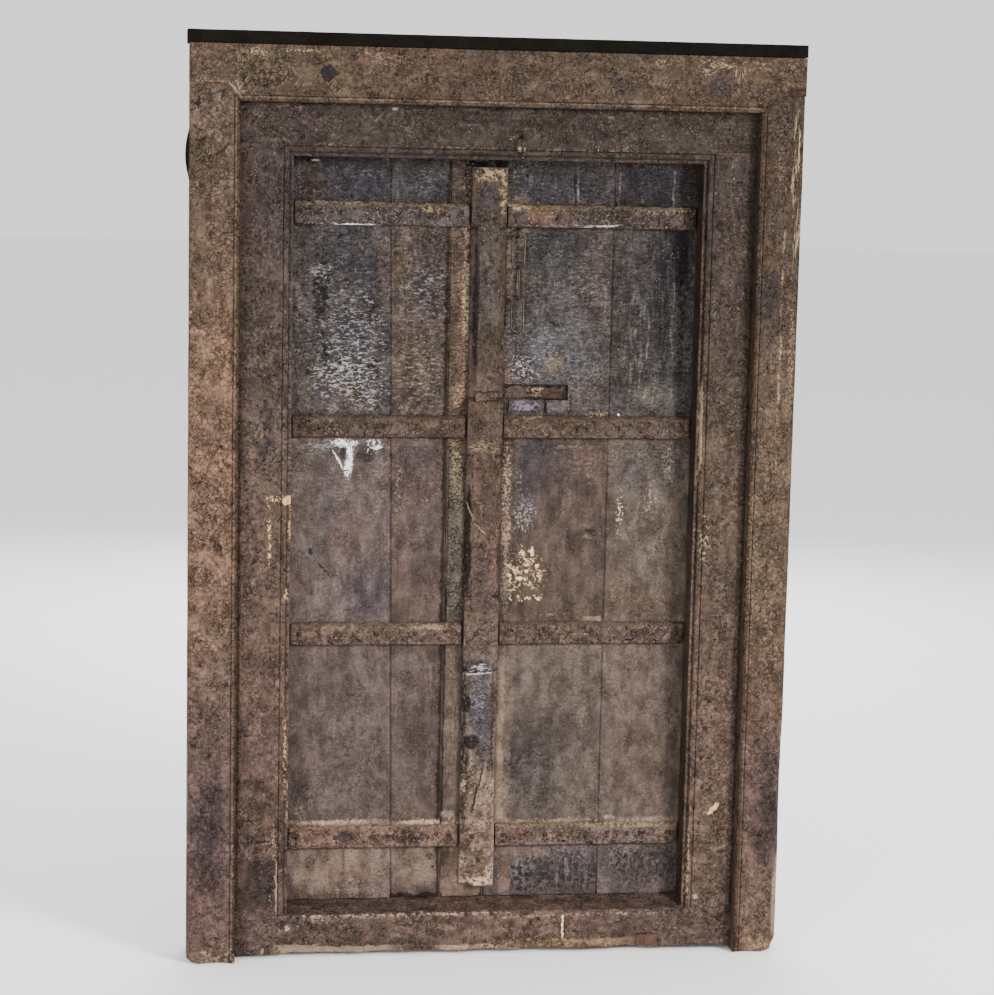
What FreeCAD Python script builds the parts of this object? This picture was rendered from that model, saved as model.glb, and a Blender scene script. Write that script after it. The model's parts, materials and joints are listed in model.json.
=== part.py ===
import FreeCAD, Part
import math
import os
import Sketcher

# Two-leaf plank door in a double frame, fastened with a hanging chain.
# The origin is the middle of the footprint on the ground, the front faces -Y.

os.makedirs("parts", exist_ok=True)
doc = FreeCAD.newDocument("PlankDoor")
sheet = doc.addObject("Spreadsheet::Sheet", "Sizes")

# Every independent size of the door in millimetres, each with what it is.
SIZES = [
    ("frame_width", 1220, "outer frame over both jambs"),
    ("frame_height", 1841, "ground to the top of the outer head"),
    ("frame_depth", 120, "front of the outer frame to the common back"),
    ("left_jamb_width", 98, "outer jamb on the left"),
    ("right_jamb_width", 90, "outer jamb on the right"),
    ("outer_head_height", 110, "outer head on its inner line"),
    ("outer_mitre", 34, "mitred zone at the outer top corners"),
    ("bead_width", 10, "round bead on the inner edges"),
    ("quirk_width", 3, "groove beside the bead"),
    ("bevel_width", 13, "bevel down the right outer edge, seen from the front"),
    ("bevel_depth", 8, "the same bevel, front to back"),
    ("tenon_width", 44, "all tenons across"),
    ("tenon_thickness", 30, "all tenons front to back"),
    ("tenon_length", 45, "all tenons along the member"),
    ("tenon_inset", 22, "outer edge of a member to its tenon"),
    ("tenon_setback", 24, "front of a member to its tenon"),
    ("peg_diameter", 12, "draw pegs, across their corners"),
    ("peg_front_cover", 14, "wood left between a peg and the front"),
    ("cap_height", 26, "dark capping board"),
    ("cap_left_overhang", 5, "capping board beyond the frame, left"),
    ("cap_right_overhang", 1, "capping board beyond the frame, right"),
    ("lug_height", 100, "bowed iron lug on the left side"),
    ("lug_proud", 8, "how far the lug stands out"),
    ("lug_depth", 60, "lug front to back"),
    ("lug_setback", 14, "front of the frame to the lug"),
    ("lug_top_drop", 164, "top of the outer head to the top of the lug"),
    ("inner_setback", 28, "inner frame face behind the outer one"),
    ("stile_width", 106, "inner stiles"),
    ("inner_head_height", 103, "inner head"),
    ("inner_mitre", 24, "mitred zone at the inner top corners"),
    ("step_width", 8, "stepped fillet inside the inner bead"),
    ("step_depth", 8, "how far that fillet is set back"),
    ("sill_height", 84, "sill at its front edge"),
    ("sill_rise", 13, "rise of the weathered sill top"),
    ("sill_lift", 8, "sill above the ground"),
    ("reveal_depth", 65, "inner frame face to the leaf boards"),
    ("leaf_thickness", 26, "boards of the leaves"),
    ("edge_clearance", 1.5, "round leaf edge in its rebate"),
    ("face_clearance", 0.8, "leaf face behind the lips"),
    ("meeting_gap", 2.4, "between the two leaves"),
    ("head_clearance", 2, "leaf under the head rebate"),
    ("sill_clearance", 3, "leaf above the sill"),
    ("pivot_diameter", 20, "round wooden pivots of the leaves"),
    ("pivot_length", 16, "pivots above and below the leaf"),
    ("pivot_clearance", 0.4, "pivot in its socket, all round"),
    ("lower_socket_extra", 1, "lower socket beyond the pivot end"),
    ("upper_socket_extra", 20, "upper socket beyond the pivot, for lifting a leaf in"),
    ("hinge_board_share", 0.52, "left leaf, board at the pivots, of the leaf width"),
    ("middle_board_share", 0.265, "left leaf, middle board, of the leaf width"),
    ("right_seam_share", 0.566, "right leaf, board at the meeting edge, of the leaf width"),
    ("seam_chamfer", 2, "eased arrises along the board seams"),
    ("batten_height", 48, "battens"),
    ("batten_thickness", 14, "battens"),
    ("top_batten_drop", 110, "head lip to the centre of the top battens"),
    ("low_batten_rise", 132, "bottom of a leaf to the centre of the lowest battens"),
    ("batten_hinge_gap", 4, "battens inside the clear opening"),
    ("batten_strip_gap", 3, "battens beside the cover strip"),
    ("batten_top_bevel", 6, "bevel on the upper edge of the battens"),
    ("batten_bottom_bevel", 2, "bevel on the lower edge of the battens"),
    ("nail_shank", 4, "square shank of the cut nails"),
    ("nail_length", 34, "nails under the head"),
    ("nail_head", 9, "nail heads at the wood"),
    ("nail_head_top", 5, "nail heads at their flat top"),
    ("nail_head_height", 1.6, "nail heads"),
    ("nail_inset", 18, "end of a batten to its first nail"),
    ("strip_width", 71, "cover strip"),
    ("strip_lap", 18.5, "cover strip over the right leaf from the meeting line"),
    ("strip_thickness", 22, "cover strip"),
    ("strip_top_gap", 15, "cover strip below the head lip"),
    ("strip_bottom_rise", 23, "cover strip above the bottom of the leaf"),
    ("strip_relief", 0.8, "relief at the back of the lap"),
    ("shaft_chamfer_width", 15, "stopped chamfers of the cover strip, from the front"),
    ("shaft_chamfer_depth", 11, "the same chamfers, front to back"),
    ("chamfer_stop", 12, "run-out at the ends of the chamfers"),
    ("top_block", 108, "full block at the top of the cover strip"),
    ("upper_block", 92, "full block at the third batten"),
    ("lower_block", 133, "full block at the second batten"),
    ("bottom_block", 133, "full block at the bottom of the cover strip"),
    ("patch_width", 132, "let-in slip over the old lock place"),
    ("patch_height", 31, "let-in slip"),
    ("patch_thickness", 5, "let-in slip"),
    ("patch_rise", 30, "top of a batten to the bottom of the slip"),
    ("patch_inset", 3, "cover strip lap to the end of the slip"),
    ("block_width", 72, "small filler block under the slip"),
    ("block_height", 22, "small filler block"),
    ("block_proud", 4, "filler block in front of the boards"),
    ("block_inset", 14, "cover strip lap to the filler block"),
    ("wire_diameter", 5, "wire of the chain and of its staple"),
    ("link_length", 74, "chain links over all"),
    ("link_width", 30, "chain links over all"),
    ("link_slack", 0.5, "play between hanging links"),
    ("chain_standoff", 17.2, "leaf face to the plane of the chain"),
    ("chain_from_meeting", 44, "meeting line to the chain"),
    ("staple_drop", 11, "lower edge of the top batten to the staple centre"),
    ("staple_spread", 15, "legs of the leaf staple, centre to centre"),
    ("staple_leg", 22, "legs of the leaf staple in the board"),
    ("head_staple_wire", 6, "wire of the head staple"),
    ("head_staple_spread", 32, "legs of the head staple, centre to centre"),
    ("head_staple_leg", 40, "legs of the head staple in the wood"),
    ("head_staple_rise", 30, "head lip to the centre of the head staple"),
    ("head_staple_shift", 5, "chain to the head staple, sideways"),
    ("overrun", 5, "how far cutting shapes run past the wood"),
]


class Size:
    """A length that carries its number and the text that binds it to the sheet."""

    def __init__(self, text, value):
        self.text = text
        self.value = value

    def join(self, other, sign, value):
        right = other.text if isinstance(other, Size) else str(other)
        return Size("(" + self.text + " " + sign + " " + right + ")", value)

    def __add__(self, other):
        return self.join(other, "+", self.value + number(other))

    def __sub__(self, other):
        return self.join(other, "-", self.value - number(other))

    def __mul__(self, other):
        return self.join(other, "*", self.value * number(other))

    def __truediv__(self, other):
        return self.join(other, "/", self.value / number(other))

    def __neg__(self):
        return Size("(0 - " + self.text + ")", -self.value)


def number(item):
    return item.value if isinstance(item, Size) else float(item)


S = {}
row = 0
for alias, value, meaning in SIZES:
    row += 1
    sheet.set("A" + str(row), alias)
    sheet.set("B" + str(row), str(value))
    sheet.set("C" + str(row), meaning)
    sheet.setAlias("B" + str(row), alias)
    S[alias] = Size("Sizes." + alias, float(value))


def derived(alias, size):
    global row
    row += 1
    sheet.set("A" + str(row), alias)
    sheet.set("B" + str(row), "=" + size.text.replace("Sizes.", ""))
    sheet.setAlias("B" + str(row), alias)
    S[alias] = Size("Sizes." + alias, size.value)
    return S[alias]


# Lines that many pieces share, measured from the origin.
middle = derived("middle", (S["lug_proud"] - S["cap_right_overhang"]) / 2)
left_face = derived("left_face", middle - S["frame_width"] / 2)
right_face = derived("right_face", middle + S["frame_width"] / 2)
front = derived("front", -(S["frame_depth"] / 2))
outer_line = derived("outer_line", S["frame_height"] - S["outer_head_height"])
inner_left = derived("inner_left", left_face + S["left_jamb_width"])
inner_right = derived("inner_right", right_face - S["right_jamb_width"])
inner_width = derived("inner_width", inner_right - inner_left)
inner_front = derived("inner_front", front + S["inner_setback"])
inner_depth = derived("inner_depth", S["frame_depth"] - S["inner_setback"])
lip_left = derived("lip_left", inner_left + S["stile_width"])
lip_right = derived("lip_right", inner_right - S["stile_width"])
lip_top = derived("lip_top", outer_line - S["inner_head_height"])
meeting = derived("meeting", (lip_left + lip_right) / 2)
half_leaf = derived("half_leaf", S["leaf_thickness"] / 2)
cover = derived("rebate_cover", half_leaf + S["edge_clearance"])
rebate_start = derived("rebate_start", S["reveal_depth"] - S["face_clearance"])
leaf_front = derived("leaf_front", inner_front + S["reveal_depth"])
ledge = derived("ledge_height", S["sill_height"] + S["sill_rise"])
leaf_bottom = derived("leaf_bottom", S["sill_lift"] + ledge + S["sill_clearance"])
leaf_top = derived("leaf_top", lip_top + cover - S["head_clearance"])
leaf_height = derived("leaf_height", leaf_top - leaf_bottom)
leaf_width = derived("leaf_width", meeting - lip_left + half_leaf - S["meeting_gap"] / 2)
strip_right = derived("strip_right", meeting + S["strip_lap"])
strip_left = derived("strip_left", strip_right - S["strip_width"])
chain_x = derived("chain_x", meeting + S["chain_from_meeting"])
lowest_batten = derived("lowest_batten", leaf_bottom + S["low_batten_rise"])
top_batten = derived("top_batten", lip_top - S["top_batten_drop"])
BATTENS = 4
batten_pitch = derived("batten_pitch", (top_batten - lowest_batten) / (BATTENS - 1))
top_batten_low = derived("top_batten_low", top_batten - S["batten_height"] / 2)
staple_z = derived("staple_height", top_batten_low - S["staple_drop"])
wire = derived("wire_radius", S["wire_diameter"] / 2)
doc.recompute()


def bind(obj, path, size):
    if isinstance(size, Size):
        obj.setExpression(path, size.text)


def place(obj, x, y, z):
    bind(obj, "Placement.Base.x", x)
    bind(obj, "Placement.Base.y", y)
    bind(obj, "Placement.Base.z", z)


def new_body(name):
    body = doc.addObject("PartDesign::Body", name)
    return body


def new_sketch(body, role, name):
    planes = [item for item in body.Origin.OriginFeatures if item.Role == role]
    sketch = body.newObject("Sketcher::SketchObject", name)
    sketch.AttachmentSupport = [(planes[0], "")]
    sketch.MapMode = "FlatFace"
    return sketch


def fix_point(sketch, index, spot, point):
    across = sketch.addConstraint(
        Sketcher.Constraint("DistanceX", -1, 1, index, spot, number(point[0]))
    )
    bind(sketch, "Constraints[" + str(across) + "]", point[0])
    upward = sketch.addConstraint(
        Sketcher.Constraint("DistanceY", -1, 1, index, spot, number(point[1]))
    )
    bind(sketch, "Constraints[" + str(upward) + "]", point[1])


def polygon(sketch, points):
    first = len(sketch.Geometry)
    count = len(points)
    for index in range(count):
        start = points[index]
        end = points[(index + 1) % count]
        line = Part.LineSegment(
            FreeCAD.Vector(number(start[0]), number(start[1]), 0),
            FreeCAD.Vector(number(end[0]), number(end[1]), 0),
        )
        sketch.addGeometry(line)
    for index in range(count):
        following = first + (index + 1) % count
        sketch.addConstraint(Sketcher.Constraint("Coincident", first + index, 2, following, 1))
    for index in range(count):
        fix_point(sketch, first + index, 1, points[index])


def pad(body, sketch, length, backwards=False):
    feature = body.newObject("PartDesign::Pad", sketch.Name + "_pad")
    feature.Profile = sketch
    bind(feature, "Length", length)
    feature.Reversed = backwards
    sketch.Visibility = False
    return feature


def cut_through(body, sketch):
    before = body.Shape.Volume
    feature = body.newObject("PartDesign::Pocket", sketch.Name + "_cut")
    feature.Profile = sketch
    feature.Type = "ThroughAll"
    feature.Midplane = True
    sketch.Visibility = False
    doc.recompute()
    if not body.Shape.Volume < before:
        raise RuntimeError(body.Name + ": " + sketch.Name + " cuts nothing")
    return feature


def box(body, kind, name, corner, sizes):
    feature = body.newObject("PartDesign::" + kind + "Box", name)
    bind(feature, "Length", sizes[0])
    bind(feature, "Width", sizes[1])
    bind(feature, "Height", sizes[2])
    place(feature, corner[0], corner[1], corner[2])
    return feature


def round_bar(body, kind, name, radius, height, foot):
    feature = body.newObject("PartDesign::" + kind + "Cylinder", name)
    bind(feature, "Radius", radius)
    bind(feature, "Height", height)
    place(feature, foot[0], foot[1], foot[2])
    return feature


def edge_near(shape, point):
    best = None
    for index, edge in enumerate(shape.Edges):
        middle_point = edge.valueAt((edge.FirstParameter + edge.LastParameter) / 2)
        gap = middle_point.distanceToPoint(point)
        if best is None or gap < best[0]:
            best = (gap, "Edge" + str(index + 1))
    return best[1]


def round_edge(body, point, radius):
    doc.recompute()
    tip = body.Tip
    feature = body.newObject("PartDesign::Fillet", body.Name + "_bead")
    feature.Base = (tip, [edge_near(tip.Shape, FreeCAD.Vector(*point))])
    bind(feature, "Radius", radius)
    doc.recompute()
    return feature


FINISHED = []


def finish(obj, label):
    obj.Label = label
    FINISHED.append(obj)
    return obj


def minus(base, tool, name):
    cut = doc.addObject("Part::Cut", name)
    cut.Base = base
    cut.Tool = tool
    return cut


def cluster(parts, name):
    group = doc.addObject("Part::Compound", name)
    group.Links = parts
    return group


SIDES = 6


def faceted_bar(name, radius, height, spot, axis):
    rod = doc.addObject("Part::Prism", name)
    rod.Polygon = SIDES
    bind(rod, "Circumradius", radius)
    bind(rod, "Height", height)
    rod.Placement = FreeCAD.Placement(
        FreeCAD.Vector(0, 0, 0),
        FreeCAD.Rotation(FreeCAD.Vector(0, 0, 1), FreeCAD.Vector(*axis)),
    )
    place(rod, spot[0], spot[1], spot[2])
    return rod


def half_ring(name, bend, radius, spot, turn):
    outline = doc.addObject("Part::RegularPolygon", name + "Outline")
    outline.Polygon = SIDES
    bind(outline, "Circumradius", radius)
    bind(outline, "Placement.Base.x", bend)
    ring = doc.addObject("Part::Revolution", name)
    ring.Source = outline
    ring.Axis = (0, -1, 0)
    ring.Base = (0, 0, 0)
    ring.Angle = 180
    ring.Solid = True
    ring.Placement = FreeCAD.Placement(FreeCAD.Vector(0, 0, 0), turn)
    place(ring, spot[0], spot[1], spot[2])
    return ring


BACKWARD = (0, 1, 0)
bead = S["bead_width"]
quirk = S["quirk_width"]
depth = S["frame_depth"]
tenon = (S["tenon_width"], S["tenon_thickness"], S["tenon_length"])
shoulder = derived("outer_shoulder", outer_line + S["outer_mitre"])


# Draw pegs of the tenons, driven from the back and stopping short of the front.
peg_radius = derived("peg_radius", S["peg_diameter"] / 2)
peg_length = derived("peg_length", inner_depth - S["peg_front_cover"])
peg_back = derived("peg_start", front + depth - peg_length)
half_tenon = derived("half_tenon", S["tenon_inset"] + S["tenon_width"] / 2)
peg_columns = {
    "outer_left": left_face + half_tenon,
    "outer_right": right_face - half_tenon,
    "inner_left": inner_left + half_tenon,
    "inner_right": inner_right - half_tenon,
}
inner_shoulder = derived("inner_shoulder", lip_top + S["inner_mitre"])
peg_rows = {
    "outer": shoulder + S["tenon_length"] / 2,
    "inner": inner_shoulder + S["tenon_length"] / 2,
    "sill": S["sill_lift"] + S["sill_height"] - S["tenon_length"] / 2,
}


def peg(column, line):
    name = "peg_" + line + "_" + column
    spot = (peg_columns[column], peg_back, peg_rows[line])
    return faceted_bar(name, peg_radius, peg_length, spot, BACKWARD)


pegs = cluster(
    [
        peg("outer_left", "outer"),
        peg("outer_right", "outer"),
        peg("inner_left", "inner"),
        peg("inner_right", "inner"),
        peg("inner_left", "sill"),
        peg("inner_right", "sill"),
    ],
    "Pegs",
)
finish(pegs, "frame_pegs")


# Outer jambs: bead and quirk on the inner edge, mitred ear at the top, tenon above.
def outer_jamb(side, width, mirrored):
    body = new_body("OuterJamb" + side)
    section = new_sketch(body, "XY_Plane", "Section" + side)
    points = [
        (0, 0),
        (width - bead - quirk, 0),
        (width - bead - quirk / 2, quirk),
        (width - bead, 0),
        (width, 0),
        (width, depth),
        (0, depth),
    ]
    if mirrored:
        points = [
            (0, 0),
            (bead, 0),
            (bead + quirk / 2, quirk),
            (bead + quirk, 0),
            (width - S["bevel_width"], 0),
            (width, S["bevel_depth"]),
            (width, depth),
            (0, depth),
        ]
    polygon(section, points)
    pad(body, section, shoulder)
    doc.recompute()
    inner_edge = 0 if mirrored else width
    ear_end = S["outer_mitre"] if mirrored else width - S["outer_mitre"]
    ear = new_sketch(body, "XZ_Plane", "Ear" + side)
    polygon(ear, [(inner_edge, outer_line), (inner_edge, shoulder), (ear_end, shoulder)])
    cut_through(body, ear)
    round_edge(body, (number(inner_edge), 0, outer_line.value / 2), bead / 2)
    start = width - S["tenon_inset"] - S["tenon_width"] if mirrored else S["tenon_inset"]
    box(body, "Additive", "Tenon" + side, (start, S["tenon_setback"], shoulder), tenon)
    place(body, inner_right if mirrored else left_face, front, 0)
    return body


left_blank = outer_jamb("Left", S["left_jamb_width"], False)
right_blank = outer_jamb("Right", S["right_jamb_width"], True)
left_pegged = minus(left_blank, pegs, "OuterJambLeftPegged")
finish(minus(right_blank, pegs, "OuterJambRightPegged"), "outer_jamb_right")


# Bowed iron lug let against the outside of the left jamb.
lug = new_body("Lug")
lug_section = new_sketch(lug, "XZ_Plane", "LugSection")
half_lug = derived("half_lug", S["lug_height"] / 2)
bow = derived(
    "lug_radius",
    (half_lug * half_lug + S["lug_proud"] * S["lug_proud"]) / (S["lug_proud"] * 2),
)
lug_section.addGeometry(
    Part.LineSegment(
        FreeCAD.Vector(0, -half_lug.value, 0),
        FreeCAD.Vector(0, half_lug.value, 0),
    )
)
lug_section.addGeometry(
    Part.Arc(
        FreeCAD.Vector(0, half_lug.value, 0),
        FreeCAD.Vector(-S["lug_proud"].value, 0, 0),
        FreeCAD.Vector(0, -half_lug.value, 0),
    )
)
lug_section.addConstraint(Sketcher.Constraint("Coincident", 0, 2, 1, 1))
lug_section.addConstraint(Sketcher.Constraint("Coincident", 0, 1, 1, 2))
fix_point(lug_section, 0, 1, (0, -half_lug))
fix_point(lug_section, 0, 2, (0, half_lug))
bow_rule = lug_section.addConstraint(Sketcher.Constraint("Radius", 1, bow.value))
bind(lug_section, "Constraints[" + str(bow_rule) + "]", bow)
pad(lug, lug_section, S["lug_depth"], True)
lug_z = S["frame_height"] - S["lug_top_drop"] - half_lug
place(lug, left_face, front + S["lug_setback"], lug_z)
finish(lug, "side_lug")
finish(left_pegged, "outer_jamb_left")


# Outer head: full width, notched and mitred over the jambs.
head = new_body("OuterHead")
head_section = new_sketch(head, "YZ_Plane", "HeadSection")
polygon(
    head_section,
    [
        (0, 0),
        (0, bead),
        (quirk, bead + quirk / 2),
        (0, bead + quirk),
        (0, S["outer_head_height"]),
        (depth, S["outer_head_height"]),
        (depth, 0),
    ],
)
pad(head, head_section, S["frame_width"])
doc.recompute()
mitre = S["outer_mitre"]
left_jamb = S["left_jamb_width"]
right_start = S["frame_width"] - S["right_jamb_width"]
notch = new_sketch(head, "XZ_Plane", "HeadNotches")
polygon(notch, [(0, 0), (left_jamb, 0), (left_jamb - mitre, mitre), (0, mitre)])
polygon(
    notch,
    [
        (right_start, 0),
        (S["frame_width"], 0),
        (S["frame_width"], mitre),
        (right_start + mitre, mitre),
    ],
)
cut_through(head, notch)
round_edge(head, ((left_jamb + right_start).value / 2, 0, 0), bead / 2)
box(
    head,
    "Subtractive",
    "HeadMortiseLeft",
    (S["tenon_inset"], S["tenon_setback"], mitre),
    tenon,
)
box(
    head,
    "Subtractive",
    "HeadMortiseRight",
    (S["frame_width"] - S["tenon_inset"] - S["tenon_width"], S["tenon_setback"], mitre),
    tenon,
)
place(head, left_face, front, outer_line)
finish(minus(head, pegs, "OuterHeadPegged"), "outer_head")

cap = new_body("Cap")
cap_length = S["frame_width"] + S["cap_left_overhang"] + S["cap_right_overhang"]
cap_corner = (left_face - S["cap_left_overhang"], front, S["frame_height"])
box(cap, "Additive", "CapBoard", (0, 0, 0), (cap_length, depth, S["cap_height"]))
place(cap, cap_corner[0], cap_corner[1], cap_corner[2])
finish(cap, "top_cap")


# Inner stiles: bead, stepped fillet and a rebate for the round edge of the leaf.
step = S["step_width"]
stile = S["stile_width"]


def stile_points(width):
    face = width - step
    return [
        (0, 0),
        (face - bead - quirk, 0),
        (face - bead - quirk / 2, quirk),
        (face - bead, 0),
        (face, 0),
        (face, S["step_depth"]),
        (width, S["step_depth"]),
        (width, rebate_start),
        (width - cover, rebate_start),
        (width - cover, inner_depth),
        (0, inner_depth),
    ]


sill_top = derived("sill_top", S["sill_lift"] + S["sill_height"])
stile_height = derived("stile_height", inner_shoulder - sill_top)
lip_drop = derived("lip_drop", lip_top - sill_top)


def inner_stile(side, mirrored):
    body = new_body("InnerStile" + side)
    section = new_sketch(body, "XY_Plane", "StileSection" + side)
    points = stile_points(stile)
    if mirrored:
        points = [(stile - point[0], point[1]) for point in reversed(points)]
    polygon(section, points)
    pad(body, section, stile_height)
    doc.recompute()
    inner_edge = 0 if mirrored else stile
    ear_end = S["inner_mitre"] if mirrored else stile - S["inner_mitre"]
    ear = new_sketch(body, "XZ_Plane", "StileEar" + side)
    polygon(ear, [(inner_edge, lip_drop), (inner_edge, stile_height), (ear_end, stile_height)])
    cut_through(body, ear)
    foot = new_sketch(body, "YZ_Plane", "StileFoot" + side)
    polygon(
        foot,
        [
            (0, 0),
            (S["reveal_depth"], S["sill_rise"]),
            (inner_depth, S["sill_rise"]),
            (inner_depth, 0),
        ],
    )
    cut_through(body, foot)
    arris = step if mirrored else stile - step
    round_edge(body, (arris.value, 0, lip_drop.value / 2), bead / 2)
    start = stile - S["tenon_inset"] - S["tenon_width"] if mirrored else S["tenon_inset"]
    top_corner = (start, S["tenon_setback"], stile_height)
    box(body, "Additive", "TopTenon" + side, top_corner, tenon)
    low_corner = (start, S["tenon_setback"], -S["tenon_length"])
    low_sizes = (S["tenon_width"], S["tenon_thickness"], S["tenon_length"] + S["sill_rise"])
    box(body, "Additive", "FootTenon" + side, low_corner, low_sizes)
    place(body, lip_right if mirrored else inner_left, inner_front, sill_top)
    return body


finish(minus(inner_stile("Left", False), pegs, "StileLeftPegged"), "inner_stile_left")
finish(minus(inner_stile("Right", True), pegs, "StileRightPegged"), "inner_stile_right")


# Inner head with the sockets for the upper pivots.
socket_radius = derived("socket_radius", S["pivot_diameter"] / 2 + S["pivot_clearance"])
pivot_y = derived("pivot_y", S["reveal_depth"] + half_leaf)
inner_head = new_body("InnerHead")
inner_section = new_sketch(inner_head, "YZ_Plane", "InnerHeadSection")
polygon(
    inner_section,
    [
        (S["step_depth"], 0),
        (S["step_depth"], step),
        (0, step),
        (0, step + bead),
        (quirk, step + bead + quirk / 2),
        (0, step + bead + quirk),
        (0, S["inner_head_height"]),
        (inner_depth, S["inner_head_height"]),
        (inner_depth, cover),
        (rebate_start, cover),
        (rebate_start, 0),
    ],
)
pad(inner_head, inner_section, inner_width)
doc.recompute()
inner_mitre = S["inner_mitre"]
far_stile = derived("far_stile", inner_width - stile)
inner_notch = new_sketch(inner_head, "XZ_Plane", "InnerNotches")
polygon(inner_notch, [(0, 0), (stile, 0), (stile - inner_mitre, inner_mitre), (0, inner_mitre)])
polygon(
    inner_notch,
    [
        (far_stile, 0),
        (inner_width, 0),
        (inner_width, inner_mitre),
        (far_stile + inner_mitre, inner_mitre),
    ],
)
cut_through(inner_head, inner_notch)
round_edge(inner_head, (inner_width.value / 2, 0, step.value), bead / 2)
far_tenon = inner_width - S["tenon_inset"] - S["tenon_width"]
for tag, start in (("Left", S["tenon_inset"]), ("Right", far_tenon)):
    corner = (start, S["tenon_setback"], inner_mitre)
    box(inner_head, "Subtractive", "InnerMortise" + tag, corner, tenon)
upper_socket = S["pivot_length"] + S["upper_socket_extra"]
for tag, across in (("Left", stile), ("Right", far_stile)):
    foot_point = (across, pivot_y, cover - S["head_clearance"])
    round_bar(
        inner_head, "Subtractive", "UpperSocket" + tag, socket_radius, upper_socket, foot_point
    )
place(inner_head, inner_left, inner_front, lip_top)

# Sill with a weathered top and the sockets for the lower pivots.
sill = new_body("Sill")
sill_section = new_sketch(sill, "YZ_Plane", "SillSection")
polygon(
    sill_section,
    [
        (0, 0),
        (0, S["sill_height"]),
        (S["reveal_depth"], ledge),
        (inner_depth, ledge),
        (inner_depth, 0),
    ],
)
pad(sill, sill_section, inner_width)
for tag, start in (("Left", S["tenon_inset"]), ("Right", far_tenon)):
    corner = (start, S["tenon_setback"], S["sill_height"] - S["tenon_length"])
    sizes = (S["tenon_width"], S["tenon_thickness"], S["tenon_length"] + S["sill_rise"])
    box(sill, "Subtractive", "SillMortise" + tag, corner, sizes)
socket_depth = S["pivot_length"] + S["lower_socket_extra"] - S["sill_clearance"]
for tag, across in (("Left", stile), ("Right", far_stile)):
    foot_point = (across, pivot_y, ledge - socket_depth)
    reach = socket_depth + S["overrun"]
    round_bar(sill, "Subtractive", "LowerSocket" + tag, socket_radius, reach, foot_point)
place(sill, inner_left, inner_front, S["sill_lift"])
finish(minus(sill, pegs, "SillPegged"), "inner_sill")


# Bent wire: a half ring with two straight legs, used for both staples.
def staple(name, radius, spread, leg, spot):
    forwards = FreeCAD.Rotation(
        FreeCAD.Vector(0, 0, 1), FreeCAD.Vector(-1, 0, 0), FreeCAD.Vector(0, -1, 0), "XYZ"
    )
    ring = half_ring(name + "Bow", spread / 2, radius, spot, forwards)
    legs = []
    for tag, offset in (("Upper", spread / 2), ("Lower", -(spread / 2))):
        end = (spot[0], spot[1], spot[2] + offset)
        legs.append(faceted_bar(name + tag + "Leg", radius, leg, end, BACKWARD))
    union = doc.addObject("Part::MultiFuse", name)
    union.Shapes = [ring] + legs
    return union


head_wire = derived("head_wire_radius", S["head_staple_wire"] / 2)
head_spot = (
    chain_x - S["head_staple_shift"],
    inner_front,
    lip_top + S["head_staple_rise"],
)
head_staple = staple(
    "HeadStaple", head_wire, S["head_staple_spread"], S["head_staple_leg"], head_spot
)
inner_head_pegged = minus(inner_head, pegs, "InnerHeadPegged")
finish(minus(inner_head_pegged, head_staple, "InnerHeadHoled"), "inner_head")
finish(head_staple, "head_staple")


# Boards of the leaves: eased seams, and a round pivot edge on the hinge boards.
leaf_thick = S["leaf_thickness"]
ease = S["seam_chamfer"]


def board(name, width, left_x):
    body = new_body(name)
    section = new_sketch(body, "XY_Plane", name + "Section")
    polygon(
        section,
        [
            (ease, 0),
            (width - ease, 0),
            (width, ease),
            (width, leaf_thick),
            (0, leaf_thick),
            (0, ease),
        ],
    )
    pad(body, section, leaf_height)
    place(body, left_x, leaf_front, leaf_bottom)
    return body


def hinge_board(name, width, left_x, mirrored):
    body = new_body(name)
    section = new_sketch(body, "XY_Plane", name + "Section")
    centre = width - half_leaf if mirrored else half_leaf
    corners = [
        (centre, 0),
        (width - ease, 0),
        (width, ease),
        (width, leaf_thick),
        (centre, leaf_thick),
    ]
    if mirrored:
        corners = [(centre, 0), (ease, 0), (0, ease), (0, leaf_thick), (centre, leaf_thick)]
    for start, end in zip(corners, corners[1:]):
        section.addGeometry(
            Part.LineSegment(
                FreeCAD.Vector(number(start[0]), number(start[1]), 0),
                FreeCAD.Vector(number(end[0]), number(end[1]), 0),
            )
        )
    last = len(corners) - 1
    ring = Part.Circle(
        FreeCAD.Vector(number(centre), half_leaf.value, 0),
        FreeCAD.Vector(0, 0, 1),
        half_leaf.value,
    )
    opening = -math.pi / 2 if mirrored else math.pi / 2
    section.addGeometry(Part.ArcOfCircle(ring, opening, opening + math.pi))
    for index in range(last - 1):
        section.addConstraint(Sketcher.Constraint("Coincident", index, 2, index + 1, 1))
    upper, lower = (2, 1) if mirrored else (1, 2)
    section.addConstraint(Sketcher.Constraint("Coincident", last - 1, 2, last, upper))
    section.addConstraint(Sketcher.Constraint("Coincident", 0, 1, last, lower))
    for index in range(last):
        fix_point(section, index, 1, corners[index])
    fix_point(section, last, 3, (centre, half_leaf))
    rule = section.addConstraint(
        Sketcher.Constraint("DistanceX", -1, 1, last - 1, 2, number(centre))
    )
    bind(section, "Constraints[" + str(rule) + "]", centre)
    pad(body, section, leaf_height)
    doc.recompute()
    radius = S["pivot_diameter"] / 2
    reach = S["pivot_length"]
    round_bar(body, "Additive", name + "UpperPivot", radius, reach, (centre, half_leaf, leaf_height))
    round_bar(body, "Additive", name + "LowerPivot", radius, reach, (centre, half_leaf, -reach))
    place(body, left_x, leaf_front, leaf_bottom)
    return body


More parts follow.
